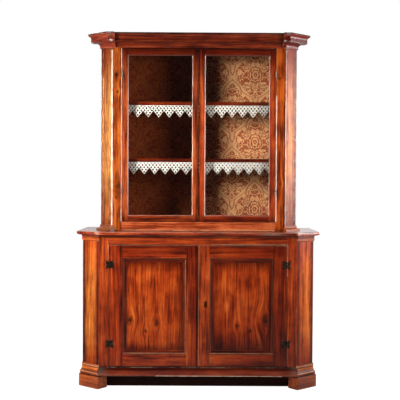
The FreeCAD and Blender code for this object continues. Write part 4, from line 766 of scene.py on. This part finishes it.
# leafage round it: contours of one noise, drawn alike in every cell, up to the ogee and its swaying vine
leaf = addNode(tree, "TexNoise", {"Vector": spot, "Scale": 1000 / damask["leafMm"], "Detail": 1.0,
                                  "Distortion": damask["leafTwist"]}, noise_dimensions="2D")
vein = addNode(tree, "TexNoise", {"Vector": spot, "Scale": 1000 / damask["veinMm"], "Detail": 1.0,
                                  "Distortion": damask["veinTwist"]}, noise_dimensions="2D")
ruffle = addNode(tree, "Math", {0: vein, 1: damask["ruffle"]}, operation="MULTIPLY")
ring = addNode(tree, "Math", {0: lobed, 1: 2 * math.pi / damask["ringM"], 2: ruffle},
               operation="MULTIPLY_ADD")
ring = addNode(tree, "Math", {0: ring}, operation="COSINE")
curl = addNode(tree, "Math", {0: leaf, 1: damask["scrolls"], 2: ruffle}, operation="MULTIPLY_ADD")
curl = addNode(tree, "Math", {0: curl}, operation="SINE")
drawn = addNode(tree, "Mix", {0: medallion, 2: curl, 3: ring}, data_type="FLOAT")
figure = addNode(tree, "MapRange", {"Value": drawn, "From Min": -damask["softness"],
                                    "From Max": damask["softness"]}, interpolation_type="SMOOTHSTEP")
ogee = addNode(tree, "Math", {0: upward, 1: math.pi}, operation="MULTIPLY")
ogee = addNode(tree, "Math", {0: ogee}, operation="COSINE")
ogee = addNode(tree, "Math", {0: ogee, 1: -0.5, 2: -0.5}, operation="MULTIPLY_ADD")
ogee = addNode(tree, "Math", {0: aside, 1: ogee}, operation="ADD")
reach = addNode(tree, "Math", {0: ogee}, operation="ABSOLUTE")
low, high = damask["ogee"]
inside = addNode(tree, "MapRange", {"Value": reach, "From Min": low, "From Max": high},
                 interpolation_type="SMOOTHSTEP")
vineHalf, vineSway = damask["vine"]
sway = addNode(tree, "Math", {0: upward, 1: math.pi * damask["vineWaves"]}, operation="MULTIPLY")
sway = addNode(tree, "Math", {0: sway}, operation="SINE")
sway = addNode(tree, "Math", {0: sway, 1: vineSway, 2: ogee}, operation="MULTIPLY_ADD")
vine = addNode(tree, "Math", {0: sway, 1: 0.0, 2: vineHalf}, operation="COMPARE")
amount = addNode(tree, "Math", {0: figure, 1: inside}, operation="MULTIPLY")
vine = addNode(tree, "Math", {0: vine, 1: damask["vineShare"]}, operation="MULTIPLY")
amount = addNode(tree, "Math", {0: amount, 1: vine}, operation="MAXIMUM")

# worn threads, dyes that faded unevenly, and painted shade that darkens the cloth towards the left
low, high = damask["noiseRange"]
thread = addNode(tree, "TexNoise", {"Vector": where, "Scale": 1000 / damask["threadMm"], "Detail": 2.0})
broken = addNode(tree, "MapRange", {"Value": thread, "From Min": low, "From Max": high,
                                    "To Max": damask["speckShare"]})
amount = addNode(tree, "Math", {0: amount, 1: damask["figureShare"], 2: broken}, operation="MULTIPLY_ADD")
fade = addNode(tree, "TexNoise", {"Vector": where, "Scale": 1000 / damask["fadeMm"], "Detail": 2.0})
shadeToLight = addNode(tree, "SeparateXYZ", {0: where})
shadeToLight = addNode(tree, "MapRange", {"Value": shadeToLight.outputs["X"], "From Min": damask["shadeToLightM"][0],
                                    "From Max": damask["shadeToLightM"][1]}, interpolation_type="SMOOTHSTEP")
dyesAndShade = []
for key in ("groundHex", "figureHex"):
    shaded, unshaded = damask[key]
    dyesAndShade.append(addNode(tree, "Mix", {0: shadeToLight, 6: shaded, 7: unshaded}, data_type="RGBA"))
cloth = addNode(tree, "Mix", {0: amount, 6: dyesAndShade[0], 7: dyesAndShade[1]}, data_type="RGBA")
faded = addNode(tree, "MapRange", {"Value": fade, "From Min": low, "From Max": high,
                                   "To Min": damask["fade"][0], "To Max": damask["fade"][1]})
cloth = addNode(tree, "Mix", {0: 1.0, 6: cloth, 7: faded}, data_type="RGBA", blend_type="MULTIPLY")
relief = addNode(tree, "Bump", {"Height": thread, "Strength": damask["threads"],
                                "Distance": damask["threadM"]})
skin = addNode(tree, "BsdfPrincipled", {"Base Color": cloth, "Roughness": damask["rough"],
                                        "Sheen Weight": damask["sheen"], "Normal": relief})
addNode(tree, "OutputMaterial", {"Surface": skin})
dress(wovenDamask, ["damask_lining"])

# bleached cotton crochet: white, soft and matt
cotton = {
    "stops": [(0.25, "#E8DCD0"), (0.55, "#FCF2E8")],
    "speckMm": 4.0,
    "detail": 3.0,
    "bump": 0.5,
    "reliefM": 0.0008,
    "sockets": {"Roughness": 0.9, "Sheen Weight": 0.3},
}
cottonLace = plainSurface("bleached cotton, crocheted", cotton)
print("cloth dyed")

# lace edging: a netted band with a row of points, hung from the shelf's front
lace = {
    "cells": 3,  # net cells along one side of a point
    "bandM": 0.033,
    "pitchM": 0.066,
    "barM": 0.0032,  # half the width of a bar of the net
    "openShare": 0.60,  # least share of a cell that is left open
    "thickM": 0.0010,
    "proudM": 0.005,  # most that the cloth stands off the shelf
    "waveM": 0.09,
    "tiltDeg": [3, -2, 5, 1, -3, 6, 0, 2, -2, 5, 3, -1, 4, 1, -3, 2],
    "weldM": 0.0003,
    "hairM": 1e-5,  # slack when places are compared
    "belowM": 1e-4,  # how far below the band a tilted corner lies
    "smoothDeg": 50,
}


def applyModifier(piece, kind, **settings):
    modifier = piece.modifiers.new(kind, kind)
    for name, setting in settings.items():
        setattr(modifier, name, setting)
    bpy.ops.object.modifier_apply(modifier=modifier.name)


def laceEdging(pieceName, cadName):
    low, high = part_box(cadName)
    pitch, middle, hair = lace["pitchM"], (low.y + high.y) / 2, lace["hairM"]
    count = round((high.x - low.x) / pitch)
    line = high.z - lace["bandM"]  # where the points leave the band
    drop = line - low.z
    bpy.ops.mesh.primitive_grid_add(x_subdivisions=lace["cells"], y_subdivisions=lace["cells"], size=1.0,
                                    rotation=(math.pi / 2, 0, 0))
    piece = bpy.context.object
    piece.name = pieceName
    piece.data.name = pieceName
    bpy.ops.object.transform_apply()
    bpy.ops.object.mode_set(mode="EDIT")
    bpy.ops.mesh.select_all(action="SELECT")
    bpy.ops.transform.rotate(value=math.radians(45), orient_axis="Y", center_override=(0, 0, 0))
    bpy.ops.transform.resize(value=(pitch / math.sqrt(2), 1, drop * math.sqrt(2)), center_override=(0, 0, 0))
    bpy.ops.transform.translate(value=(low.x - pitch / 2, middle, line))
    bpy.ops.mesh.duplicate()
    bpy.ops.transform.translate(value=(pitch / 2, 0, drop))
    bpy.ops.object.mode_set(mode="OBJECT")
    applyModifier(piece, "ARRAY", count=count + 1, use_relative_offset=False, use_constant_offset=True,
                  constant_offset_displace=(pitch, 0, 0))
    bpy.ops.object.mode_set(mode="EDIT")
    bpy.ops.mesh.select_all(action="SELECT")
    bpy.ops.mesh.remove_doubles(threshold=lace["weldM"])
    for cutPlace, cutWay in ((high, (0, 0, 1)), (high, (1, 0, 0)), (low, (-1, 0, 0))):
        bpy.ops.mesh.select_all(action="SELECT")
        bpy.ops.mesh.bisect(plane_co=cutPlace, plane_no=cutWay, clear_outer=True, threshold=hair)
    bpy.ops.object.mode_set(mode="OBJECT")
    cellArea = pitch * drop / lace["cells"] ** 2
    for face in piece.data.polygons:  # scraps of cells along the top and ends stay closed
        face.select = face.area > cellArea * lace["openShare"]
    bpy.ops.object.mode_set(mode="EDIT")
    bpy.ops.mesh.select_mode(type="FACE")
    bpy.ops.mesh.inset(thickness=lace["barM"], use_individual=True, use_boundary=True)
    bpy.ops.mesh.delete(type="FACE")
    bpy.ops.mesh.select_all(action="SELECT")
    bpy.ops.mesh.subdivide(number_cuts=1)
    bpy.ops.object.mode_set(mode="OBJECT")
    for index in range(count):  # each point hangs at its own small tilt
        left, right = low.x + index * pitch, low.x + (index + 1) * pitch
        for vertex in piece.data.vertices:
            vertex.select = left - hair < vertex.co.x < right + hair and vertex.co.z < line - lace["belowM"]
        bpy.ops.object.mode_set(mode="EDIT")
        bpy.ops.mesh.select_mode(type="VERT")
        tilt = math.radians(lace["tiltDeg"][index % len(lace["tiltDeg"])])
        bpy.ops.transform.rotate(value=tilt, orient_axis="X",
                                 center_override=((left + right) / 2, middle, line))
        bpy.ops.mesh.select_all(action="DESELECT")
        bpy.ops.object.mode_set(mode="OBJECT")
    folds = bpy.data.textures.new(pieceName + "Folds", "CLOUDS")
    folds.noise_scale = lace["waveM"]
    applyModifier(piece, "DISPLACE", texture=folds, texture_coords="LOCAL", direction="Y", mid_level=0.0,
                  strength=-lace["proudM"])
    applyModifier(piece, "SOLIDIFY", thickness=lace["thickM"], offset=0.0)
    bpy.ops.object.shade_smooth_by_angle(angle=math.radians(lace["smoothDeg"]))
    piece.data.materials.append(cottonLace)
    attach(piece, "carcass")
    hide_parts(cadName)


laceEdging("highLace", "lace_high")
laceEdging("lowLace", "lace_low")

# domed iron nails that hold the base hinges: three on each leaf
nail = {
    "radiusM": 0.0034,
    "domeShare": 0.5,
    "segments": 8,
    "rings": 5,
    "frontY": -0.2562,
    "hingeX": 0.549,
    "hingeZ": (0.278, 0.768),
    "frameSpots": [(0.0155, 0.016), (0.0155, -0.016), (0.0085, 0.0)],  # outward and up from the pin
    "doorSpots": [(-0.026, 0.019), (-0.026, -0.019), (-0.014, 0.0)],
}


def hingeNails(pieceName, bodyName, sides, spots):
    places = [Vector((side * (nail["hingeX"] + outward), nail["frontY"], height + up))
              for side in sides for height in nail["hingeZ"] for outward, up in spots]
    bpy.ops.mesh.primitive_uv_sphere_add(segments=nail["segments"], ring_count=nail["rings"],
                                         radius=nail["radiusM"], location=places[0])
    piece = bpy.context.object
    piece.name = pieceName
    piece.data.name = pieceName
    piece.scale.y = nail["domeShare"]
    bpy.ops.object.transform_apply()
    bpy.ops.object.mode_set(mode="EDIT")
    bpy.ops.mesh.select_all(action="SELECT")
    for last, place in zip(places, places[1:]):
        bpy.ops.mesh.duplicate()
        bpy.ops.transform.translate(value=place - last)
    bpy.ops.object.mode_set(mode="OBJECT")
    bpy.ops.object.shade_smooth()
    piece.data.materials.append(wroughtIron["hammered"])
    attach(piece, bodyName)


hingeNails("carcassHingeNails", "carcass", (-1, 1), nail["frameSpots"])
hingeNails("leftHingeNails", "lower_left_door", (-1,), nail["doorSpots"])
hingeNails("rightHingeNails", "lower_right_door", (1,), nail["doorSpots"])
print("hinge nails driven")
